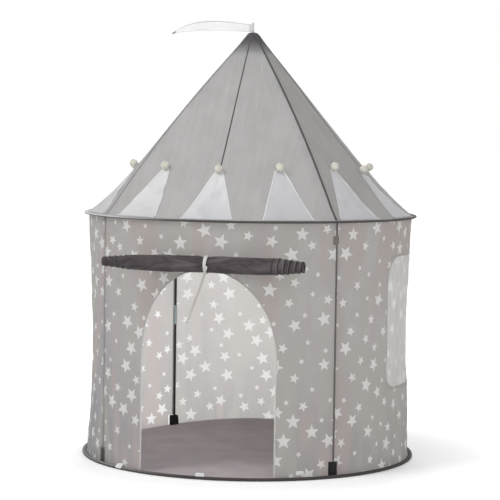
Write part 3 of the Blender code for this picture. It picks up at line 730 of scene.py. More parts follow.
def wall_radius_at(panel, azimuth, z):
    centre, waist, seed = PANELS[panel]
    away = from_middle(azimuth, centre)
    u, across = radians(away) * WALL, away / 45
    over, under = EAVE - z, z - FOOT
    rise = clamp(under / (EAVE - FOOT))
    radius = WALL - waist * max(0.0, 1 - across**2) * sin(pi * rise)
    side = (1 - abs(across)) * 0.40
    inner = ease(side, 0.0, 0.06)
    dent = 0.0050 * ripple(u * 3.2, z * 1.9, seed)
    dent += 0.0042 * ripple(u * 13.0 + z * 1.5, z * 1.6, seed + 10)
    dent += 0.0022 * ripple(u * 30.0 - z * 4.0, z * 5.0, seed + 20)
    dent += 0.0011 * ripple(u * 60.0 + z * 22.0, z * 30.0 - u * 10.0, seed + 30)
    depth = dent * inner * ease(over, 0.0, 0.07) * ease(under, 0.0, 0.06)
    # Gathers at the hoops and puckers along the seams
    depth += 0.0012 * ripple(u * 46.0, z * 3.0, seed + 40) * exp(-over / 0.035) * inner
    depth += 0.0010 * ripple(u * 38.0, z * 3.0, seed + 50) * exp(-under / 0.05) * inner
    pucker = exp(-side / 0.022) * ease(side, 0.0, 0.006)
    depth += 0.0011 * ripple(z * 34.0, u * 4.0, seed + 60) * pucker
    for (turn, low), (end_turn, end), width, deep in CREASES[panel]:
        start_u, end_u = (radians(from_middle(a, centre)) * WALL for a in (turn, end_turn))
        du, dz = end_u - start_u, end - low
        t = clamp(((u - start_u) * du + (z - low) * dz) / (du * du + dz * dz))
        off = hypot(u - start_u - du * t, z - low - dz * t)
        if off < 3 * width:
            depth += deep * bell(off, width) * (1 - 0.55 * (2 * t - 1) ** 2) * inner
    if panel in ("wall_front", "wall_left"):
        depth -= over_pocket(z) * ease(2.9 - abs(azimuth + 45.0), 0.0, 0.8)
    return radius - depth


def wall_place(panel, azimuth, z, outwards=0.0):
    return polar(wall_radius_at(panel, azimuth, z) + outwards, azimuth, z)


# Distances to the openings, below zero inside, in metres across and up
def arch_distance(x, z):
    if z <= ARCH_SPRING:
        return abs(x) - ARCH_HALF
    up = z - ARCH_SPRING
    q = hypot(x / ARCH_HALF, up / ARCH_RISE)
    g = hypot(x / ARCH_HALF**2, up / ARCH_RISE**2) / max(q, 1e-6)
    return (q - 1) / max(g, 1e-6)


def pane_distance(x, z):
    corner = PANE_TOP_LEFT if x < 0 and z > PANE_MIDDLE else PANE_CORNER
    dx = abs(x) - (PANE_HALF - corner)
    dz = abs(z - PANE_MIDDLE) - (PANE_TALL - corner)
    return hypot(max(dx, 0.0), max(dz, 0.0)) + min(max(dx, dz), 0.0) - corner


def make_wall(panel, material, distance=None):
    centre = PANELS[panel][0]
    azimuths = stops(-45 + SEAM, -45 + NOTCH, 0.7) + stops(-45 + NOTCH, 45 - NOTCH, 0.72)[1:]
    azimuths += stops(45 - NOTCH, 45 - SEAM, 0.7)[1:]
    heights = stops(FOOT, NOTCH_TOP, 0.0065) + stops(NOTCH_TOP, WALL_TOP, 0.0065)[1:]

    def notch(azimuth, height):
        # Cut out round each pocket, but not at the front left, where the cloth covers it
        covered = (panel == "wall_front" and azimuth < 0) or (panel == "wall_left" and azimuth > 0)
        return height < NOTCH_TOP and abs(azimuth) > 45 - NOTCH and not covered

    def place(azimuth, height):
        return wall_place(panel, centre + azimuth, height)

    def uv(azimuth, height):
        return radians(azimuth) * WALL, height

    def flat(azimuth, height):
        return wall_radius_at(panel, centre + azimuth, height) * sin(radians(azimuth)), height

    def unflat(x, z, before):
        z = clamp(z, FOOT, WALL_TOP)
        radius = wall_radius_at(panel, centre + before[0], z)
        return degrees(asin(clamp(x / radius, -0.99, 0.99))), z

    mesh = grid(panel + "_cloth", azimuths, heights, place, uv, notch, distance, flat, unflat)
    return add_piece(mesh, material, "wall_cloth", panel)


def foot_shadow(t, uv, shade):
    # Painted shadow of the pocket and the rod behind the cloth at the front left, where they show through it
    x, y, z = t.split(t.place())
    off = abs(x + ROD) + abs(y + ROD)
    near = t.span(off, 0.014, 0.030, 1.0, 0.0) * t.span(z, 0.044, 0.060, 0.85, 0.0)
    above = t.span(off, 0.004, 0.012, 1.0, 0.0) * t.span(z, 0.05, 0.16, 0.55, 0.15)
    return t.mix(t.math("MAXIMUM", near, above), shade, (0.085, 0.080, 0.090))


def jamb_painted_light(t, uv, shade):
    # Over the arch the hem is darker; down the two jambs it is drawn lighter: painted light, where light shines
    # through its edge
    u = t.split(uv)[0]
    over = t.span(u, 0.33, 0.42) * t.span(u, 1.03, 1.12, 1.0, 0.0)
    return t.mix(over, shade, (0.56, 0.54, 0.53))


# Where each panel lies in the print, the colour of its stars, and what else its cloth shows
WARM = (0.605, 0.585, 0.570)
# The back wall's stars and the left wall's are drawn darker than the front's: painted shade, to dim the light that
# shines through them
PRINTS = {
    "front": ((0.31, 0.12, 0.0), (0.95, 0.945, 0.93), foot_shadow),
    "right": ((1.17, 0.49, 0.0), (0.95, 0.945, 0.93), None),
    "back": ((2.43, 0.26, 0.0), (0.82, 0.815, 0.80), None),
    "left": ((3.85, 0.71, 0.0), (0.93, 0.93, 0.93), foot_shadow),
}
wall_cloths = {
    "wall_" + side: cloth("star_cloth_" + side, WARM, stars=stars, star_colour=colour, extra=extra)
    for side, (stars, colour, extra) in PRINTS.items()
}
PALE_STITCHES, SEAM_ROWS = (0.48, 0.46, 0.45), (0.0022, 0.0052)
DOOR_ROWS, WINDOW_ROWS = (0.0035, 0.0115), (0.0030, 0.0095)
door_tape = tape(
    "door_hem_tape", (0.74, 0.72, 0.70), DOOR_ROWS, (0.55, 0.53, 0.51), 0.30, more=jamb_painted_light
)
window_tape = tape("window_hem_tape", (0.66, 0.645, 0.63), WINDOW_ROWS, PALE_STITCHES, 0.5)
# The seam at the front right is dark: its tape's own colour, and painted shade of the rod behind the cloth
seam_brown = tape("seam_tape_brown", (0.125, 0.108, 0.101), SEAM_ROWS, (0.25, 0.23, 0.22), 0.10)
seam_light = tape(
    "seam_tape_light", (0.56, 0.545, 0.53), SEAM_ROWS, PALE_STITCHES, 0.50, more=foot_shadow
)
openings = {"wall_front": arch_distance, "wall_right": pane_distance}
walls = {panel: make_wall(panel, wall_cloths[panel], openings.get(panel)) for panel in PANELS}


# --- hems round the door and the window
def rim_frames(panel, line, ring=False):
    """Frames along a rim given as (across, height): side points away from the opening."""
    centre = PANELS[panel][0]
    places, outs = [], []
    for x, z in line:
        z = clamp(z, FOOT, EAVE)
        azimuth = 0.0
        for _ in range(4):
            azimuth = degrees(asin(x / wall_radius_at(panel, centre + azimuth, z)))
        outs.append(direction(centre + azimuth))
        places.append(wall_place(panel, centre + azimuth, z))
    return frames_along(places, outs, ring)


def fold_section(inner, outer, thick):
    # A tape folded round the raw edge
    upper = [(-inner * 0.7, 0.8), (-inner * 0.2, 1.0)]
    upper += [(outer * 0.5, 0.95), (outer * 0.94, 0.85), (outer, 0.3)]
    lower = [(a, -b) for a, b in reversed(upper)]
    return [(-inner, 0.0)] + [(a, b * thick) for a, b in upper + lower]


def arch_line():
    left = [(-ARCH_HALF, z) for z in stops(FOOT, ARCH_SPRING, 0.008)]
    turns = [pi * (1 - k / 96) for k in range(1, 96)]
    arch = [(ARCH_HALF * cos(a), ARCH_SPRING + ARCH_RISE * sin(a)) for a in turns]
    return left + arch + [(-x, z) for x, z in reversed(left)]


def pane_line():
    line = []
    for k, (sx, sz) in enumerate(((1, -1), (1, 1), (-1, 1), (-1, -1))):
        corner = PANE_TOP_LEFT if k == 2 else PANE_CORNER
        for m in range(13):
            turn = radians(90 * (k - 1) + 90 * m / 12)
            x = sx * (PANE_HALF - corner) + corner * cos(turn)
            line.append((x, PANE_MIDDLE + sz * (PANE_TALL - corner) + corner * sin(turn)))
    dense = []
    for start, end in zip(line, line[1:] + line[:1]):
        count = max(1, round(dist(start, end) / 0.008))
        dense += [tuple(a + (b - a) * m / count for a, b in zip(start, end)) for m in range(count)]
    return dense


door_fold, window_fold = fold_section(0.0010, 0.0038, 0.0010), fold_section(0.0010, 0.0030, 0.0006)
door_mesh = sweep("door_hem", rim_frames("wall_front", arch_line()), door_fold)
door_hem = add_piece(door_mesh, door_tape, "wall_cloth")
window_frames = rim_frames("wall_right", pane_line(), ring=True)
rim_mesh = sweep("window_hem", window_frames, window_fold, ring=True)
window_hem = add_piece(rim_mesh, window_tape, "wall_cloth")

# --- window net in soft upright folds
NET_FOOT, NET_TOP, NET_WIDE = 0.237, 0.655, 0.35


def net_place(share, z):
    reach = degrees(asin(PANE_HALF / WALL) + 0.008 / WALL)
    drift = 0.9 * ripple(z * 3.0, share * 2.0, 71.0)
    fold = 0.0019 * (1 - cos(TURN * 5 * share + drift * 2.2))
    fold += 0.0011 * (1 + ripple(share * 34.0 + drift, z * 3.5, 73.0))
    fold += 0.0004 * ripple(share * 90.0, z * 9.0, 74.0)
    edge = ease(min(share, 1 - share), 0.0, 0.05) * ease(min(z - NET_FOOT, NET_TOP - z), 0.0, 0.03)
    inwards = 0.0016 + fold * (0.25 + 0.75 * edge)
    return wall_place("wall_right", 90 + reach * (2 * share - 1), z, -inwards)


def make_net():
    t = Tree("window_net")
    uv = t.uv()
    fine = t.noise(uv, 300.0, 2.0, 0.6)
    streak = t.noise(uv, 70.0, 3.0, 0.6, (1.0, 0.10, 1.0))
    # Holes of a fine net, 1.6 mm apart
    hole = t.threads(uv, 0.0016)
    cover = t.span(streak, 0.30, 0.72, 0.50, 0.66) + hole * 0.12
    shade = t.mix(fine * 0.3, (0.84, 0.84, 0.83), (0.70, 0.70, 0.69))
    normal = t.bump(hole, 0.0003)
    face = t.surface(shade, fine * 0.1 + 0.7, normal, Sheen_Weight=0.2)
    thread = t.mix_shader(0.5, face, t.node("BsdfTranslucent", Color=shade, Normal=normal))
    material = t.finish(t.mix_shader(cover, t.node("BsdfTransparent"), thread))
    shares, heights = stops(0.0, 1.0, 1 / 150), stops(NET_FOOT, NET_TOP, 0.007)
    mesh = grid("window_net", shares, heights, net_place, lambda s, z: ((s - 0.5) * NET_WIDE, z))
    piece = add_piece(mesh, material, "net_cloth", "window_mesh")
    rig.sheet(piece, flat=(0.35, 0.42), held="stretched", rests_on=["wall_right"])


make_net()
cut_out = {
    "wall_front": {"area": 0.371, "with_pieces": [door_hem]},
    "wall_right": {"area": 0.482, "with_pieces": [window_hem]},
}
for panel, wall in walls.items():
    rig.sheet(wall, flat=(0.80, 0.758), held="stretched", rests_on=HOOPS, **cut_out.get(panel, {}))

# --- roof
ROOFS = {"roof_front": 0.0, "roof_right": 90.0, "roof_back": 180.0, "roof_left": -90.0}
CENTRES = list(ROOFS.values())
# How far each panel is drawn in between its rods, and how far the rod at each corner bows out
PULLS = {0.0: 0.052, 90.0: 0.066, 180.0: 0.090, -90.0: 0.075}
BOWS = {45.0: 0.022, 135.0: 0.008, 225.0: 0.008, -45.0: 0.019, -135.0: 0.008}
CAP_FOOT, CAP_LIFT = 1.2712, 0.0010


def roof_radius(z):
    return ROOF_TIP + (WALL - ROOF_TIP) * (ROOF_TOP - z) / (ROOF_TOP - EAVE)


def bow_share(rise):
    t = clamp((rise - 0.045) / 0.91)
    return sin(pi * t) * ease(t, 0.0, 0.08) * ease(1 - t, 0.0, 0.08)


def roof_place(centre, azimuth, z, outwards=0.0):
    """A place on a roof panel, azimuth degrees from its middle."""
    rise = clamp((z - ROOF_FOOT) / (ROOF_TOP - ROOF_FOOT))
    across, seed = azimuth / 45, 80 + centre / 90
    pull = PULLS[centre] * max(0.0, 1 - across**2) * sin(pi * rise**0.8)
    bow = BOWS[centre + (45.0 if across > 0 else -45.0)] * across**2 * bow_share(rise)
    dent = 0.0016 * (1 + ripple(azimuth * 0.16, rise * 1.2, seed))
    dent += 0.0011 * (1 + ripple(azimuth * 0.42, rise * 2.4, seed + 9))
    dent += 0.0012 * bell(azimuth, 5.0) * ease(rise, 0.35, 0.7)
    dent *= ease(1 - abs(across), 0.0, 0.25) * ease(rise, 0.0, 0.10) * ease(1 - rise, 0.0, 0.08)
    return polar(roof_radius(z) * (1 - pull) - dent + bow + outwards, centre + azimuth, z)


def make_roof(name, material):
    def place(share, z):
        edge = 45 - degrees(SLIT / roof_radius(z))
        return roof_place(ROOFS[name], share * edge, z)

    def uv(share, z):
        return radians(share * 45) * roof_radius(z), (z - EAVE) / LEAN_UP

    heights = stops(ROOF_FOOT, ROOF_TOP, (ROOF_TOP - ROOF_FOOT) / 96)
    mesh = grid(name + "_cloth", stops(-1.0, 1.0, 1 / 62), heights, place, uv)
    piece = add_piece(mesh, material, "roof_cloth", name)
    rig.sheet(
        piece, flat=(0.80, 0.754), held="stretched", rests_on=["eave_hoop_binding"], area=0.305
    )


def roof_extra(t, uv, shade):
    # Faint streaks that run up to the top, and darker near it
    streak = t.noise(uv, 60.0, 2.0, 0.5, (1.0, 0.06, 1.0))
    shade = t.mix(t.span(streak, 0.35, 0.75, 0.0, 0.10), shade, (0.78, 0.77, 0.77))
    return t.mix(t.span(t.split(uv)[1], 0.645, 0.738, 0.0, 0.90), shade, (0.070, 0.062, 0.074))


roof_grey = cloth("roof_cloth_grey", (0.502, 0.497, 0.495), 0.40, extra=roof_extra, sheen=0.1)
# The right panel is drawn darker: painted shade, for the side that faces away from the light
roof_painted_shade = cloth("roof_cloth_dull", (0.440, 0.434, 0.428), 0.40, extra=roof_extra, sheen=0.1)
for name in ROOFS:
    make_roof(name, roof_painted_shade if name == "roof_right" else roof_grey)

PLAIN = {"rough": 0.75, "sheen": 0.0}
dark_tape = tape("dark_seam_tape", (0.085, 0.080, 0.080), (0.0012,), (0.18, 0.17, 0.17), **PLAIN)
grey_tape = tape("grey_seam_tape", (0.250, 0.240, 0.242), (0.0010,), (0.34, 0.33, 0.33), **PLAIN)


def make_roof_seams():
    """One seam up the middle of each panel, and a wider one over each rod."""
    for k in range(8):
        centre, local = CENTRES[k // 2], 45.0 * (k % 2)
        half, thick = (0.0036, 0.0008) if local else (0.0022, 0.0006)
        if k == 7:
            half = 0.0028
        side, frames = direction(centre + local + 90), []
        for z in stops(EAVE + 0.0045, ROOF_TOP - 0.003, 0.010):
            ahead = roof_place(centre, local, min(z + 0.003, ROOF_TOP))
            back = roof_place(centre, local, max(z - 0.003, EAVE))
            out = side.cross((ahead - back).normalized()).normalized()
            lift = thick * 0.5 + CAP_LIFT * ease(z, CAP_FOOT - 0.006, CAP_FOOT)
            frames.append((roof_place(centre, local, z) + out * lift, side, out))
        shoulders = (-half * 0.8, thick * 0.7), (0.0, thick), (half * 0.8, thick * 0.7)
        section = [(-half, -thick * 0.4), *shoulders, (half, -thick * 0.4), (0.0, -thick * 0.6)]
        mesh = sweep(f"roof_seam_{k}", frames, section)
        add_piece(mesh, grey_tape if k == 7 else dark_tape, "roof_cloth")


make_roof_seams()


# --- seams on the corners of the walls
def make_wall_seams():
    shoulders = (-0.0026, 0.0006), (0.0, 0.0008), (0.0026, 0.0006)
    section = [(-0.0032, 0.0), *shoulders, (0.0032, 0.0), (0.0, -0.0002)]
    for k, (corner, azimuth) in enumerate(CORNERS.items()):
        out, side, frames = direction(azimuth), direction(azimuth + 90), []
        covered = corner == "front_left"
        for z in stops(0.0100 if covered else NOTCH_TOP + 0.001, EAVE - 0.004, 0.009):
            sway = 0.0004 * ripple(z * 14.0, k, 90.0)
            radius = WALL + 0.0006 + (over_pocket(z) if covered else 0.0)
            frames.append((out * radius + side * sway + UP * z, side, out))
        mesh = sweep(f"wall_seam_{k}", frames, section)
        add_piece(mesh, seam_brown if corner == "front_right" else seam_light, "wall_cloth")


make_wall_seams()

# --- hoops in their bindings
HOOP_RADIUS, HOOP_HALF = 0.5184, 0.0064


def hoop_binding(name, node, foot, height, material):
    count = 240
    half = height / 2 - 0.0001
    section = [(HOOP_HALF * a, half * b) for a, b in squared(20, 0.75, 0.72)]
    around = lengths_round(section)
    loops = []
    for k in range(count):
        azimuth, loop = 360.0 * k / count, []
        for m, (a, b) in enumerate(section):
            crumple = 1 + 0.10 * ripple(azimuth * 0.55, m * 0.6, 100.0 + height * 90)
            if b < 0 and foot == 0.0:
                crumple = min(crumple, 1.0)
            taper = 1.0 - 0.35 * clamp(-a / HOOP_HALF)
            z = foot + height / 2 + b * min(crumple, 1.0) * taper
            loop.append(polar(HOOP_RADIUS + min(a * crumple, 0.0065), azimuth, z))
        loops.append(loop)

    def uv(k, m, place):
        return TURN * k / count * OUTER, around[m]

    mesh = build(name, *shell(loops, uv, ring=True, flip=False))
    add_piece(mesh, material, "binding_cloth", node)


def turned_cloth(t, uv, shade):
    # On the left the wall cloth is turned over the hoop, and the dark tape shows at the foot alone
    x, _, z = t.split(t.place())
    left = t.span(x, -0.30, -0.05, 1.0, 0.0)
    return t.mix(t.span(z, 0.0052, 0.0064) * left, shade, (0.215, 0.205, 0.200))


def painted_top_highlight(t, uv, shade):
    # Painted highlight: on the left the top of the eave's binding is drawn light
    x, _, z = t.split(t.place())
    left = t.span(x, -0.36, -0.06, 1.0, 0.0)
    return t.mix(t.span(z, 0.7598, 0.7610) * left, shade, (0.52, 0.52, 0.525))


# Name, foot, height, colour, rows of stitches, their colour, and what else the tape shows
hoops = (
    ("floor", 0.0, 0.0096, (0.06, 0.054, 0.052), (0.008, 0.02), (0.13, 0.12, 0.12), turned_cloth),
    ("eave", 0.7573, 0.007, (0.075, 0.071, 0.07), (0.008, 0.018), (0.15, 0.14, 0.14), painted_top_highlight),
)
for name, foot, height, colour, rows, stitches, more in hoops:
    material = tape(name + "_binding_tape", colour, rows, stitches, more=more, **PLAIN)
    hoop_binding(name + "_binding_tape", name + "_hoop_binding", foot, height, material)


# --- floor sheet, lying with soft wrinkles
def make_floor():
    highest, rim = 0.031, 0.5104

    def flat(radius, azimuth):
        turn = radians(azimuth)
        return radius * sin(turn), -radius * cos(turn)

    def place(radius, azimuth):
        x, y = flat(radius, azimuth)
        rise = 0.0015 * (1 + ripple(x * 7.0, y * 7.0, 110.0))
        rise += 0.0016 * max(0.0, ripple(x * 16.0 + y * 5.0, y * 12.0, 111.0))
        rise *= 1 - ease(radius, 0.46, 0.505)
        # Drawn up on the wall at the back
        turn = azimuth % 360.0
        lift = highest * ease(turn, 146.0, 180.0) * (1 - ease(turn, 190.0, 262.0))
        rise += lift * ease(radius, 0.385, rim) ** 1.3
        inwards = 0.0016 * ease(lift, 0.0, 0.004) + 0.013 * lift / highest
        shrink = 1 - inwards * ease(radius, 0.44, WALL) / WALL
        return Vector((x * shrink, y * shrink, 0.0006 + rise))

    mesh = grid("floor_cloth", stops(0.0001, rim, 0.0085), stops(-180.0, 180.0, 2.0), place, flat)
    join_close(mesh, 0.00015, outwards=True)
    material = cloth("floor_cloth_grey", (0.355, 0.307, 0.322), 0.0, 0.0013, rough=0.8, mottle=0.10)
    piece = add_piece(mesh, material, "floor_cloth", "floor_sheet")
    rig.sheet(
        piece, flat=(1.021, 1.021), held="stretched", rests_on=["floor_hoop_binding"], area=0.8188
    )


make_floor()


# --- foot pockets
def make_pockets():
    t = Tree("pocket_webbing")
    uv = t.uv()
    weave, fine = t.weave(uv, 0.0022), t.noise(uv, 500.0, 2.0, 0.6)
    rib = t.math("SINE", t.split(uv)[0] * (TURN / 0.0030))
    shade = t.mix(weave, (0.007, 0.007, 0.0075), (0.020, 0.0195, 0.0205))
    shade = t.mix(fine * 0.35, shade, (0.032, 0.031, 0.032))
    normal = t.bump(rib * 0.3 + weave, 0.0005)
    webbing = t.finish(t.surface(shade, fine * 0.2 + 0.6, normal, Specular_IOR_Level=0.15))
    # Outside from the foot up and over the rim: (z, share of the full size)
    outside = [(0.0024, 0.86), (0.0036, 0.97), (0.010, 1.0), (0.022, 0.99)]
    outside += [(0.034, 0.985), (0.044, 0.99), (0.0472, 0.96), (0.0480, 0.90)]
    # Then down into the socket of the rod: (z, radius)
    inside = [(0.0474, 0.0072), (0.0462, 0.0050), (0.036, 0.0044), (0.0163, 0.0044)]
    for corner, azimuth in CORNERS.items():
        out, side = direction(azimuth), direction(azimuth + 90)
        loops = []
        for z, grow in outside:
            loop = []
            for m, (x, y) in enumerate(squared(40, 0.42)):
                narrow = 1.0 - 0.30 * ease(z, 0.0, 0.048) * clamp(0.5 - x * 0.5)
                crumple = 0.0005 * ripple(m * 0.9, z * 160, 120.0 + azimuth * 0.01)
                away = 0.50025 + 0.0098 * x * grow + (0.0 if x > 0.6 else crumple)
                loop.append(out * away + side * (y * 0.0164 * grow * narrow + crumple) + UP * z)
            loops.append(loop)
        for z, radius in inside:
            loops.append([out * (0.500 + a) + side * b + UP * z for a, b in circle(40, radius)])
        faces = shell(loops, lambda k, m, place: (m * 0.0025, k * 0.006), caps=(True, True))
        mesh = build("pocket_" + corner, *faces)
        add_piece(mesh, webbing, "pocket_cloth", "foot_pocket_" + corner)


make_pockets()


# --- small sewn patches
def make_patch(
    name, panel, azimuth, low, high, width, material, lift=0.0006, thick=0.0010, foot_out=0.0
):
    """A small flat patch with rounded edges that follows the wall. foot_out is how far its foot
    stands out over the binding."""
    middle, half = (low + high) / 2, (high - low) / 2
    loops = []
    # Its side, its rounded edge and its face: (share of the full size, share of the thickness)
    for grow, raised in ((1.0, 0.0), (1.0, 0.6), (0.95, 1.0), (0.60, 1.08), (0.0, 1.1)):
        loop = []
        for x, y in squared(40, 0.35):
            z = middle + y * half * grow
            turn = azimuth + degrees(x * width / 2 * grow / WALL)
            radius = wall_radius_at(panel, turn, z) if panel else WALL
            radius += foot_out * cos(pi / 2 * clamp((z - low) / (high - low))) ** 0.6
            loop.append(polar(radius + lift + thick * raised, turn, z))
        loops.append(loop)

    def uv(k, m, place):
        return width / 2 * cos(TURN * m / 40), place.z

    mesh = join_close(build(name, *shell(loops, uv, caps=(True, False))), 0.00002)
    add_piece(mesh, material, "tape_cloth")


patch_white = tape("patch_white", (0.70, 0.70, 0.70), (0.012,), (0.70, 0.70, 0.69))
tab_brown = tape("tab_brown", (0.190, 0.165, 0.150), (0.680, 0.688), (0.42, 0.38, 0.35), 0.1)
make_patch(
    "door_patch_left", "wall_front", -32.7, 0.0040, 0.0175, 0.026, patch_white, foot_out=0.0152
)
make_patch("door_patch_right", "wall_front", 32.7, 0.0130, 0.0265, 0.026, patch_white)
make_patch("door_patch_middle", None, -0.5, 0.0075, 0.0200, 0.027, patch_white, lift=0.0105)
make_patch("corner_tab", None, 44.6, 0.693, 0.719, 0.019, tab_brown, lift=0.0014, thick=0.0008)


# --- apex cap
def roof_at(azimuth, z, outwards=0.0):
    """A place on the roof cloth at any azimuth."""
    turn = (azimuth + 45.0) % 360.0
    quarter = floor(turn / 90.0)
    return roof_place(CENTRES[quarter], turn - 45.0 - 90.0 * quarter, z, outwards)


def make_cap():
    loops, count = [], 120
    azimuths = [360.0 * m / count for m in range(count)]
    for height in stops(CAP_FOOT, ROOF_TOP - 0.0012, 0.004):
        lift = (0.0003 + (CAP_LIFT - 0.0003) * ease(height, CAP_FOOT, CAP_FOOT + 0.012)) / LEAN_UP
        loops.append([roof_at(azimuth, height, lift) for azimuth in azimuths])
    # Drawn together round the sleeve, then turned down inside it
    neck = [(0.0126, 1.3301), (0.0094, 1.3309), (0.0064, 1.3316), (0.0052, 1.3317)]
    for radius, height in neck + [(0.0046, 1.3312), (0.0046, 1.3303)]:
        deep = 0.0004 if 0.006 < radius < 0.0125 else 0.0
        radii = [radius + deep * ripple(m * 0.5, radius * 300, 131.0) for m in range(count)]
        loops.append([polar(r, azimuth, height) for r, azimuth in zip(radii, azimuths)])

    def uv(k, m, place):
        return 0.0032 * m, (place.z - EAVE) / LEAN_UP

    add_piece(build("apex_cap_cloth", *shell(loops, uv)), roof_grey, "cap_cloth", "apex_cap")


make_cap()

# --- pennants with their yarn balls
BASE_HALF, TIP_HALF, LONG = 0.0795, 0.0125, 0.196
PENNANT_FOOT = EAVE + 0.0035 + 0.0011
PENNANT_BASE = roof_radius(PENNANT_FOOT) + 0.0021 / LEAN_UP
PENNANTS = 13


def pennant_frame(azimuth):
    out, along = direction(azimuth), direction(azimuth + 90)
    up_roof = out * -LEAN_IN + UP * LEAN_UP
    away = out * LEAN_UP + UP * LEAN_IN
    turned = Matrix((along, up_roof, away)).transposed().to_4x4()
    return Matrix.Translation(polar(PENNANT_BASE, azimuth, PENNANT_FOOT)) @ turned


def on_roof(matrix, x, y, lift):
    """The place over (x, y) of a pennant's own frame that lies on the roof, raised by lift."""
    z = 0.0
    for _ in range(4):
        point = matrix @ Vector((x, y, z))
        azimuth = degrees(atan2(point.x, -point.y))
        surface = roof_at(azimuth, max(point.z, EAVE + 0.001))
        z -= (hypot(point.x, point.y) - hypot(surface.x, surface.y)) * LEAN_UP
    return Vector((x, y, z + lift))


def pennant_half(share):
    return BASE_HALF * (1 - share) + TIP_HALF * share


def pennant_mesh(number, matrix):
    def place(across, share):
        half, side = pennant_half(share), floor(across + 1)
        x = half * across
        wave = max(0.0, ripple(x * 26.0 + number, share * 3.0, 140.0 + number))
        curl = abs(across) ** 5 * max(0.0, ripple(share * 6.0, number, 150.0 + side))
        lift = 0.0016 + 0.0022 * wave * ease(share, 0.0, 0.25)
        lift += 0.0034 * curl * ease(share, 0.02, 0.2)
        # A rolled hem on the two slanting sides
        lift += 0.0008 * ease(abs(x) - (half - 0.0050), 0.0, 0.0008) * ease(share, 0.0, 0.02)
        low = on_roof(matrix, x, share * LONG, lift)
        if share < 0.03:
            low.z = max(low.z, -0.0011 + lift - 0.0016)
        return low

    def uv(across, share):
        return pennant_half(share) * across + number * 0.3, share * LONG

    name = f"pennant_cloth_{number:02d}"
    return grid(name, stops(-1.0, 1.0, 1 / 15), stops(0.0, 1.0, 1 / 36), place, uv)


def pompom_mesh():
    """Strands of yarn that stand out all round a soft ball."""
    dice = random.Random(41)
    points, faces, uvs = [], [], []
    centre = Vector((0.0, LONG, 0.0133))
    count, inner, golden = 430, 0.0075, pi * (3 - sqrt(5))

    def uv(k, m, place):
        return m * 0.001, k * 0.003

    for k in range(count):
        z = 1 - 2 * (k + 0.5) / count
        r = sqrt(1 - z * z)
        way = Vector((r * cos(golden * k), r * sin(golden * k), z))
        way += Vector([dice.uniform(-0.12, 0.12) for _ in range(3)])
        way.normalize()
        bend = Vector([dice.uniform(-0.0016, 0.0016) for _ in range(3)])
        outer, thick = dice.uniform(0.0112, 0.0133), dice.uniform(0.00055, 0.00085)
        side = way.orthogonal().normalized()
        other = way.cross(side)
        loops = []
        for t in stops(0.0, 1.0, 1 / 3):
            place = centre + way * (inner + (outer - inner) * t) + bend * (t * t)
            ring = circle(4, thick * (1.0 - 0.25 * t))
            loops.append([place + side * a + other * b for a, b in ring])
        strand = shell(loops, uv, caps=(False, True), first=len(points))
        for whole, part in zip((points, faces, uvs), strand):
            whole += part
    start = len(points)
    ball = bmesh.new()
    bmesh.ops.create_icosphere(ball, subdivisions=3, radius=0.0106)
    for vertex in ball.verts:
        way = vertex.co.normalized()
        points.append(centre + way * (0.0103 + 0.0010 * noise.noise(way * 6.0)))
    for face in ball.faces:
        faces.append([start + v.index for v in face.verts])
        uvs.append([(v.co.x, v.co.y) for v in face.verts])
    ball.free()
    return build("yarn_ball", points, faces, uvs)


def hem_shade(t, uv, shade):
    # Painted shade of soft folds and of the lower part, where the cloth wrinkles; a line of stitching inside each
    # slanting edge, and the doubled cloth outside it
    x, y, _ = t.split(t.place())
    rim = t.span(y, 0.0, LONG, BASE_HALF, TIP_HALF, smooth=False) - abs(x)
    folds = t.noise(t.vector("ADD", uv, (0.0, 0.4, 0.0)), 26.0, 3.0, 0.55, (1.0, 0.6, 1.0))
    shade = t.mix(t.span(folds, 0.46, 0.66, 0.0, 0.26), shade, (0.62, 0.625, 0.66))
    shade = t.mix(t.span(y, 0.0, 0.16, 0.28, 0.0), shade, (0.62, 0.625, 0.65))
    shade = t.mix(t.span(rim, 0.0030, 0.0050, 0.85, 0.0), shade, (0.98, 0.98, 0.99))
    sewn = t.math("COMPARE", rim, 0.0052, 0.0005)
    shade = t.mix(sewn * 0.40, shade, (0.42, 0.42, 0.44))
    return t.mix(t.math("LESS_THAN", y, 0.0035) * 0.5, shade, (0.40, 0.40, 0.41))


def make_yarn():
    t = Tree("cream_yarn")
    place = t.place()
    blotch, fibre = t.noise(place, 60.0, 3.0, 0.6), t.noise(place, 1400.0, 2.0, 0.6)
    shade = t.mix(t.span(blotch, 0.35, 0.65), (0.66, 0.64, 0.56), (0.88, 0.86, 0.79))
    shade = t.mix(fibre * 0.35, shade, (0.45, 0.43, 0.36))
    return t.finish(t.surface(shade, fibre * 0.1 + 0.85, t.bump(fibre, 0.0004), Sheen_Weight=0.35))


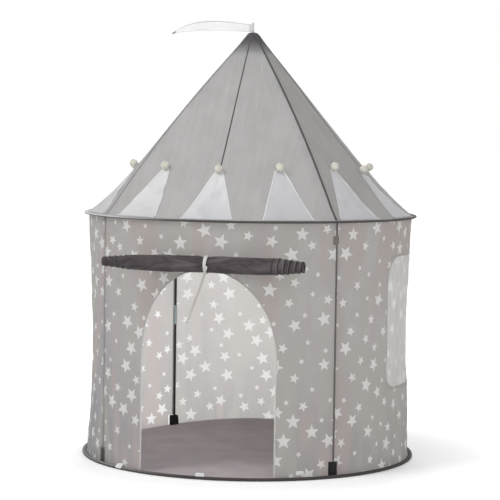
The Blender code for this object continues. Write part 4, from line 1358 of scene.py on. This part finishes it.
def make_pennants():
    # Painted light and shade: the pennants are drawn a little brighter at the front left and darker right of the door
    look = {"rough": 0.75, "mottle": 0.04, "sheen": 0.05, "extra": hem_shade}
    usual, painted_light_shares = 1.0, {12: 1.10, 0: 1.06, 1: 0.895, 2: 0.96}
    whites = {}
    for share in (usual, *painted_light_shares.values()):
        name, colour = f"pennant_cloth_white_{round(share * 1000)}", (0.90, 0.90, 0.925)
        whites[share] = cloth(name, tint(colour, share), 0.45, 0.0009, **look)
    ball = pompom_mesh()
    ball.materials.append(make_yarn())
    for number in range(PENNANTS):
        azimuth = 360.0 * number / PENNANTS
        matrix, node = pennant_frame(azimuth), f"pennant_{number:02d}"
        white, body = whites[painted_light_shares.get(number, usual)], node + "_body"
        piece = add_piece(pennant_mesh(number, matrix), white, "pennant_cloth", node, body, matrix)
        raised = matrix @ Matrix.Translation((0.0, 0.0, on_roof(matrix, 0.0, LONG, 0.0018).z))
        pom = add_piece(ball, None, "pennant_cloth", None, body, raised, f"yarn_ball_{number:02d}")
        on = list(ROOFS)[round(azimuth / 90.0) % 4]
        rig.sheet(
            piece, flat=(0.159, 0.196), held="laid", rests_on=[on], area=0.01803, with_pieces=[pom]
        )


make_pennants()

# --- flag
FLAG_FOOT, FLAG_LONG, FLAG_AZIMUTH, SLEEVE = 1.3310, 0.252, -75.1, 0.0031


def flag_shade(t, uv, shade):
    u, v, _ = t.split(uv)
    shade = t.mix(t.span(v, 0.80, 0.90, 0.0, 0.85), shade, (0.36, 0.355, 0.355))
    shade = t.mix(t.span(v, -0.94, -0.84, 0.45, 0.0), shade, (0.42, 0.415, 0.415))
    shade = t.mix(t.span(u, 0.006, 0.012, 0.60, 0.0), shade, (0.42, 0.415, 0.415))
    return t.mix(t.span(u, 0.236, 0.246, 0.0, 0.85), shade, (0.08, 0.08, 0.08))


def make_flag():
    def place(share, tall):
        middle = 0.0136 + 0.0184 * share + 0.0171 * share**2 - 0.0548 * share**3
        half = 0.0120 + 0.0027 * share + 0.0276 * share**2 - 0.0411 * share**3
        wave = 0.006 * share * sin(TURN * 1.6 * share)
        wave += 0.0010 * ripple(share * 9.0, tall * 1.4, 160.0) * ease(share, 0.02, 0.15)
        wave += 0.0004 * ripple(share * 30.0, tall * 3.0, 161.0) * ease(share, 0.02, 0.1)
        return Vector((SLEEVE + FLAG_LONG * share, wave, middle + half * tall))

    white = cloth("flag_cloth_white", (0.78, 0.78, 0.785), 0.35, 0.0009, **PLAIN, extra=flag_shade)
    turned = Matrix.Rotation(radians(FLAG_AZIMUTH - 90.0), 4, "Z")
    matrix = Matrix.Translation((0.0, 0.0, FLAG_FOOT)) @ turned
    shares, talls = stops(0.0, 1.0, 1 / 90), stops(-1.0, 1.0, 1 / 9)
    mesh = grid("flag_cloth", shares, talls, place, lambda s, tall: (s * FLAG_LONG, tall))
    piece = add_piece(mesh, white, "white_cloth", "flag", "flag_body", matrix)
    # The sleeve: outside from the foot up, and back down inside
    tall, bore = 0.030, 0.0026
    outline = [(SLEEVE + 0.0006, z) for z in (0.0006, 0.004, 0.015, 0.026, 0.0294)]
    outline = [(SLEEVE + 0.0003, 0.0), *outline, (SLEEVE + 0.0003, tall), (bore, tall), (bore, 0.0)]
    loops = [[Vector((x, y, z)) for x, y in circle(20, radius)] for radius, z in outline]
    faces = shell(loops, lambda k, m, place: (0.05 + m * 0.001, 0.1 * (k % 2)), ring=True)
    tube = build("flag_sleeve", *faces)
    sleeve = add_piece(tube, white, "white_cloth", body="flag_body", matrix=matrix)
    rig.sheet(
        piece, flat=(0.252, 0.030), held="hung", rests_on=["apex_hub"], area=0.0062,
        with_pieces=[sleeve],
    )


make_flag()

# --- rolled door flap
ROLL_Y, ROLL_Z = -0.5393, 0.636
ROLL_OUT, ROLL_IN, TURNS = 0.0255, 0.0095, 6.5
CORE_TURNS, CORE_OUT, ROLL_TALL = 1.5, 0.0165, 1.05
# Where the front of the outer turn lies along the wound cloth, and where the tight turns begin
FRONT_LENGTH, TIGHT_LENGTH = 0.7036, 0.1225
WOUND_STEP, END_STEP, END_REACH = 0.0018, 0.017, 0.222


def roll_painted_shade(t, uv, shade):
    """Painted shade and highlight of creases that fan out from the tie, and of the end of each turn."""
    u, v, _ = t.split(uv)
    spread = (v - FRONT_LENGTH) / (abs(u - TIE_X) + 0.035)
    ray = t.noise(t.node("CombineXYZ", X=spread * 3.6, Y=u * 8.0), 1.0, 3.0, 0.5)
    # Painted highlight on the ridges of the creases, and painted shade in the creases
    shade = t.mix(t.span(ray, 0.50, 0.66, 0.0, 0.42), shade, (0.150, 0.130, 0.136))
    shade = t.mix(t.span(abs(ray - 0.47), 0.0, 0.040, 0.72, 0.0), shade, (0.018, 0.013, 0.015))
    # Painted shade under the end of each turn
    inner = t.math("MAXIMUM", (v - TIGHT_LENGTH) * (WOUND_STEP / pi), 0.0)
    radius = t.math("SQRT", inner + CORE_OUT**2)
    turns_out = (TURNS - CORE_TURNS) - (radius - CORE_OUT) / WOUND_STEP
    beyond = abs(u) - (turns_out * END_STEP + (END_REACH - END_STEP))
    under = t.span(beyond, -0.0010, 0.0060, 0.90, 0.0) * t.math("GREATER_THAN", beyond, -0.002)
    # The left end is smoothed flat, so its steps hardly show
    shade = t.mix(under * t.span(u, -0.1, 0.1, 0.25, 1.0), shade, (0.010, 0.008, 0.009))
    # Painted highlight along the end of each turn
    rim = t.span(beyond, END_STEP - 0.0042, END_STEP - 0.0014, 0.0, 0.45)
    return t.mix(rim * t.span(u, -0.1, 0.1, 0.2, 1.0), shade, (0.175, 0.158, 0.160)), ray


def dark_cloth(name, creased):
    t = Tree(name)
    uv = t.uv()
    weave, fine = t.weave(uv, 0.0010), t.noise(uv, 420.0, 2.0, 0.6)
    soft = t.noise(uv, 14.0, 4.0, 0.6, (1.0, 0.45, 1.0))
    shade = t.mix(t.span(soft, 0.32, 0.70), (0.026, 0.019, 0.021), (0.054, 0.041, 0.045))
    shade = t.mix(fine * 0.30, shade, (0.120, 0.105, 0.108))
    normal = t.bump(fine * 0.4 + weave, 0.0003)
    # Painted shade and highlight of the roll's creases and the ends of its turns
    if creased:
        shade, ray = roll_painted_shade(t, uv, shade)
        normal = t.bump(ray, 0.012, Normal=normal)
    look = {"Sheen_Weight": 0.04, "Specular_IOR_Level": 0.30}
    return t.finish(t.surface(shade, fine * 0.14 + 0.50, normal, **look))


header_dark = dark_cloth("header_cloth_dark", False)
roll_dark = dark_cloth("roll_cloth_dark", True)


def round_roll(x, radius, angle):
    return Vector((x, ROLL_Y + radius * cos(angle), ROLL_Z + ROLL_TALL * radius * sin(angle)))


def wound_radius(turn):
    # A loose core of few turns, and tight turns round it
    if turn < CORE_TURNS:
        return ROLL_IN + (CORE_OUT - ROLL_IN) * turn / CORE_TURNS
    return CORE_OUT + (ROLL_OUT - CORE_OUT) * (turn - CORE_TURNS) / (TURNS - CORE_TURNS)


def roll_radius(turn, angle, x):
    # Pinched by the tie, and softly uneven; the same all through, so that no two turns touch
    off, c, s = x - TIE_X, cos(angle), sin(angle)
    pinch = 1 - 0.095 * bell(off, 0.017) - 0.02 * bell(off, 0.09)
    taper = 1 - (0.05 if x > 0 else 0.22) * ease(abs(x), 0.08, 0.31)
    folds = 0.030 * ripple(c * 1.5 + abs(x) * 20, s * 1.5 + x * 3.0, 170.0)
    folds += 0.034 * ripple(c * 3.4 + x * 14.0, s * 3.4 - abs(off) * 34.0, 171.0)
    folds += 0.016 * ripple(c * 3.0 + x * 60.0, s * 3.0, 172.0)
    # Sharp creases that fan out from the tie
    fan = 1 - abs(2 * ripple(angle * 1.1 + off * 9.0, off * 7.0, 173.0))
    fan += 0.6 * (1 - abs(2 * ripple(angle * 2.3 - off * 16.0, off * 10.0, 174.0)))
    folds += 0.085 * (fan - 1.25) * (0.35 + 0.65 * bell(off, 0.10))
    return wound_radius(turn) * pinch * taper * (1 + folds * (1 - 0.95 * bell(off, 0.014)) - 0.02)


def make_roll():
    stations = 44
    turns = [i / stations for i in range(round(TURNS * stations) + 1)]
    # The finer stations lie at the ends, where the steps are
    shares = [copysign(1 - (1 - abs(k) / 60) ** 1.25, k) for k in range(-60, 61)]
    lengths = [0.0]
    for turn in turns[:-1]:
        lengths.append(lengths[-1] + wound_radius(turn + 0.5 / stations) * TURN / stations)

    def end_at(turn):
        return min(0.306, END_REACH + END_STEP * (TURNS - turn))

    def across(share, turn):
        ragged = 0.0025 * ripple(turn * 2.3, 1.0 if share > 0 else 2.0, 175.0) * abs(share) ** 8
        return share * end_at(turn) + (ragged if share > 0 else -ragged)

    def place(share, turn):
        x, end, angle = across(share, turn), end_at(turn), TURN * (turn - TURNS)
        hem = 0.0013 * ease(abs(share) * end, end - 0.007, end - 0.0015)
        return round_roll(x, roll_radius(turn, angle, x) + hem, angle)

    def uv(share, turn):
        return across(share, turn), lengths[round(turn * stations)]

    mesh = grid("door_flap_cloth", shares, turns, place, uv)
    piece = add_piece(mesh, roll_dark, "roll_cloth", "door_flap_roll", "flap_roll")
    thicken(piece, 0.0011, 1.0)
    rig.sheet(piece, flat=(0.78, 0.612), held="folded", rests_on=["door_tie"], area=0.388)


make_roll()
HEADER_HALF, HEADER_TOP, HEADER_FOOT, LEAD_Y = 0.198, 0.652, 0.6375, -0.5131


def make_header():
    def place(across, share):
        x = across * HEADER_HALF
        seam = wall_place("wall_front", degrees(asin(x / WALL)), HEADER_TOP, 0.0016)
        sag = 0.0010 * sin(pi * share) * ripple(across * 9.0, share, 180.0)
        return seam.lerp(Vector((x, LEAD_Y, HEADER_FOOT)), share) + Vector((0.0, sag, 0.0))

    def uv(across, share):
        return across * HEADER_HALF, share * 0.05

    mesh = grid("flap_header_cloth", stops(-1.0, 1.0, 1 / 40), stops(0.0, 1.0, 1 / 12), place, uv)
    piece = add_piece(mesh, header_dark, "roll_cloth", "door_flap_header", body=None)
    thicken(piece, 0.0008, 0.0)
    shaped = piece.evaluated_get(bpy.context.evaluated_depsgraph_get())
    thick_mesh = bpy.data.meshes.new_from_object(shaped)
    piece.modifiers.clear()
    piece.data = thick_mesh
    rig.blend(piece, "tent", "flap_lead", (0.0, -0.513, 0.652), (0.0, -0.513, 0.6375))
    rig.sheet(piece, flat=(0.396, 0.025), held="stretched", rests_on=["wall_front"])


make_header()
lead_frames = [(Vector((x, LEAD_Y, 0.6300)), UP, FRONT) for x in stops(-0.1995, 0.1995, 0.006)]
lead_mesh = sweep("flap_lead_cloth", lead_frames, lens(0.0056, 0.0050, 0.00045, 0.0005))
add_piece(lead_mesh, header_dark, "roll_cloth", "door_flap_lead", "flap_lead")


# --- tie round the roll, with its knot
def make_tie():
    count, base = 72, ROLL_OUT * 0.905 + 0.0014
    section = [(-0.0052, 0.0), (-0.0046, 0.0007), (-0.0015, 0.0009)]
    section += [(-a, b) for a, b in reversed(section)] + [(0.0, -0.0001)]
    loops = []
    for k in range(count):
        angle, loop = TURN * k / count, []
        for a, b in section:
            x = TIE_X + a * (1 - 0.12 * sin(angle * 2 + 0.6)) + 0.0008 * sin(angle)
            uneven = 0.0003 * ripple(cos(angle) * 3, sin(angle) * 3 + a * 90, 190.0)
            loop.append(round_roll(x, base + b + uneven, angle))
        loops.append(loop)

    def uv(k, m, place):
        return k * 0.0021, section[m % len(section)][0]

    mesh = build("door_tie_tape", *shell(loops, uv, ring=True, flip=False))
    piece = add_piece(mesh, tape_white, "tape_cloth", "door_tie", body=None)
    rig.blend(piece, "tent", "flap_lead", (0.0, -0.5393, 0.661), (0.0, -0.5393, 0.641))
    # The knot: two crossed loops of the same tape pulled tight
    middle, steps = Vector((TIE_X + 0.0035, -0.5668, 0.6275)), 48
    for number, (lean, size) in enumerate(((0.5, 1.0), (-0.7, 0.86))):
        places = []
        for k in range(steps):
            a = TURN * k / steps
            loop = Vector((0.0042 * cos(a), 0.0013 * sin(2 * a), 0.0052 * sin(a))) * size
            places.append(middle + Matrix.Rotation(lean, 3, "Y") @ loop)
        frames = frames_along(places, [FRONT] * steps, ring=True)
        tape_section = lens(0.0022, 0.0018, 0.0007, 0.0010)
        knot = sweep(f"door_tie_knot_{number}", frames, tape_section, ring=True)
        add_piece(knot, tape_white, "tape_cloth")


make_tie()


# --- hard pieces: most stay as CAD, and the roof rods are bowed
def hard_material(name, colour, rough, scale=180.0, stretch=(1.0, 1.0, 0.05), wear=None, **more):
    t = Tree(name)
    place = t.place()
    grain, spots = t.noise(place, scale, 4.0, 0.6, stretch), t.noise(place, 35.0, 3.0, 0.6)
    shade = t.mix(t.span(grain, 0.3, 0.7), tint(colour, 0.78), tint(colour, 1.25))
    shade = t.mix(t.span(spots, 0.55, 0.75, 0.0, 0.35), shade, wear or tint(colour, 2.2))
    return t.finish(t.surface(shade, grain * 0.22 + (rough - 0.11), t.bump(grain, 0.00012), **more))


def make_roof_rods(material):
    """The roof rods, bowed: each runs from its elbow to the hub and is straight in both sockets."""
    for corner, azimuth in CORNERS.items():
        node = nodes["roof_pole_" + corner]
        out, side = direction(azimuth), direction(azimuth + 90)
        slope = out * -LEAN_IN + UP * LEAN_UP
        places = [node.matrix_world @ v.co for v in node.data.vertices]
        middle = sum(places, Vector()) / len(places)
        reach = max((p - middle).dot(slope) for p in places)
        frames = []
        for share in stops(-reach, reach, 0.012):
            straight = middle + slope * share
            bow = BOWS[azimuth] * bow_share((straight.z - EAVE) / (ROOF_TOP - EAVE))
            frames.append((straight + out * bow, side, side.cross(slope).normalized()))
        mesh = sweep("roof_rod_" + corner, frames, circle(20, 0.004))
        add_piece(mesh, material, "black_rod", "roof_pole_" + corner)


rod_black = hard_material("rod_black", (0.010, 0.010, 0.011), 0.36, Coat_Weight=0.15)
plastic = hard_material("plastic_black", (0.016, 0.016, 0.017), 0.5, 700.0, (1.0, 1.0, 1.0))
DRAWN, WORN = (1.0, 1.0, 0.02), (0.22, 0.24, 0.24)
ferrule = hard_material("ferrule_steel", (0.36, 0.43, 0.44), 0.34, 90.0, DRAWN, WORN, Metallic=1.0)
wire = hard_material("wire_steel", (0.40, 0.40, 0.41), 0.36, Metallic=1.0)
for name, thing in nodes.items():
    for starts, material in (
        (("wall_pole", "roof_pole"), rod_black),
        (("eave_elbow", "apex_hub"), plastic),
        ("pole_ferrule", ferrule),
        (("floor_hoop_wire", "eave_hoop_wire"), wire),
    ):
        for slot in thing.material_slots if name.startswith(starts) else ():
            slot.material = material
make_roof_rods(rod_black)


# --- floor, light and world
def seen(t):
    # Rays that come from the camera, straight, mirrored or bent
    path = t.node("LightPath", out=None)
    straight = t.math("MAXIMUM", path("Is Camera Ray"), path("Is Transmission Ray"))
    return t.math("MAXIMUM", straight, path("Is Glossy Ray"))


def make_stage():
    t = Tree("studio_floor")
    place = t.place()
    soft = t.noise(place, 1.5, 2.0, 0.5)
    shade = t.mix(soft, (0.88, 0.88, 0.88), (0.91, 0.91, 0.91))
    face = t.node("BsdfPrincipled", Base_Color=shade, Roughness=0.9, Specular_IOR_Level=0.1)
    dull = t.node("BsdfDiffuse", Color=t.mix(soft, (0.82, 0.82, 0.82), (0.85, 0.85, 0.85)))
    # White all the way out, and with less glow near the tent: painted shade where its shadow lies
    near = t.span(t.vector("LENGTH", place), 0.55, 1.15, 0.10, 0.55)
    glow = t.node("Emission", Color=(1.0, 1.0, 1.0), Strength=near)
    material = t.finish(t.mix_shader(seen(t), dull, t.node("AddShader", None, {0: face, 1: glow})))
    points = [(x, y, -0.0004) for x, y in ((-30, -30), (30, -30), (30, 60), (-30, 60))]
    ground = link("studio_floor", build("studio_floor", points, [[0, 1, 2, 3]]))
    ground.data.materials.append(material)
    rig.stage(ground)

    t = Tree("studio", bpy.data.worlds, "OutputWorld")
    soft, full = (
        t.node("Background", Color=(1.0, 1.0, 1.0), Strength=strength) for strength in (0.62, 1.0)
    )
    scene.world = t.finish(t.mix_shader(seen(t), soft, full))


def area_light(name, place, aim, size, watts):
    data = bpy.data.lights.new(name, "AREA")
    data.shape, data.size, data.energy = "SQUARE", size, watts
    lamp = link(name, data)
    lamp.location = place
    lamp.rotation_euler = (Vector(aim) - Vector(place)).to_track_quat("-Z", "Y").to_euler()
    lamp.visible_camera = False


make_stage()
area_light("key", (-2.6, -2.9, 4.2), (0.0, 0.0, 0.8), 2.0, 122.0)
area_light("fill", (2.6, -4.6, 2.2), (0.0, 0.0, 0.8), 2.4, 80.0)
area_light("back", (-0.6, 4.2, 2.8), (0.0, 0.2, 0.5), 2.2, 92.0)

scene.view_settings.view_transform = "Standard"

with open("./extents.json", "w") as file:
    json.dump({"cad": [list(map(float, p)) for p in cad_box], "visual": [list(map(float, p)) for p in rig.bounds()]}, file)
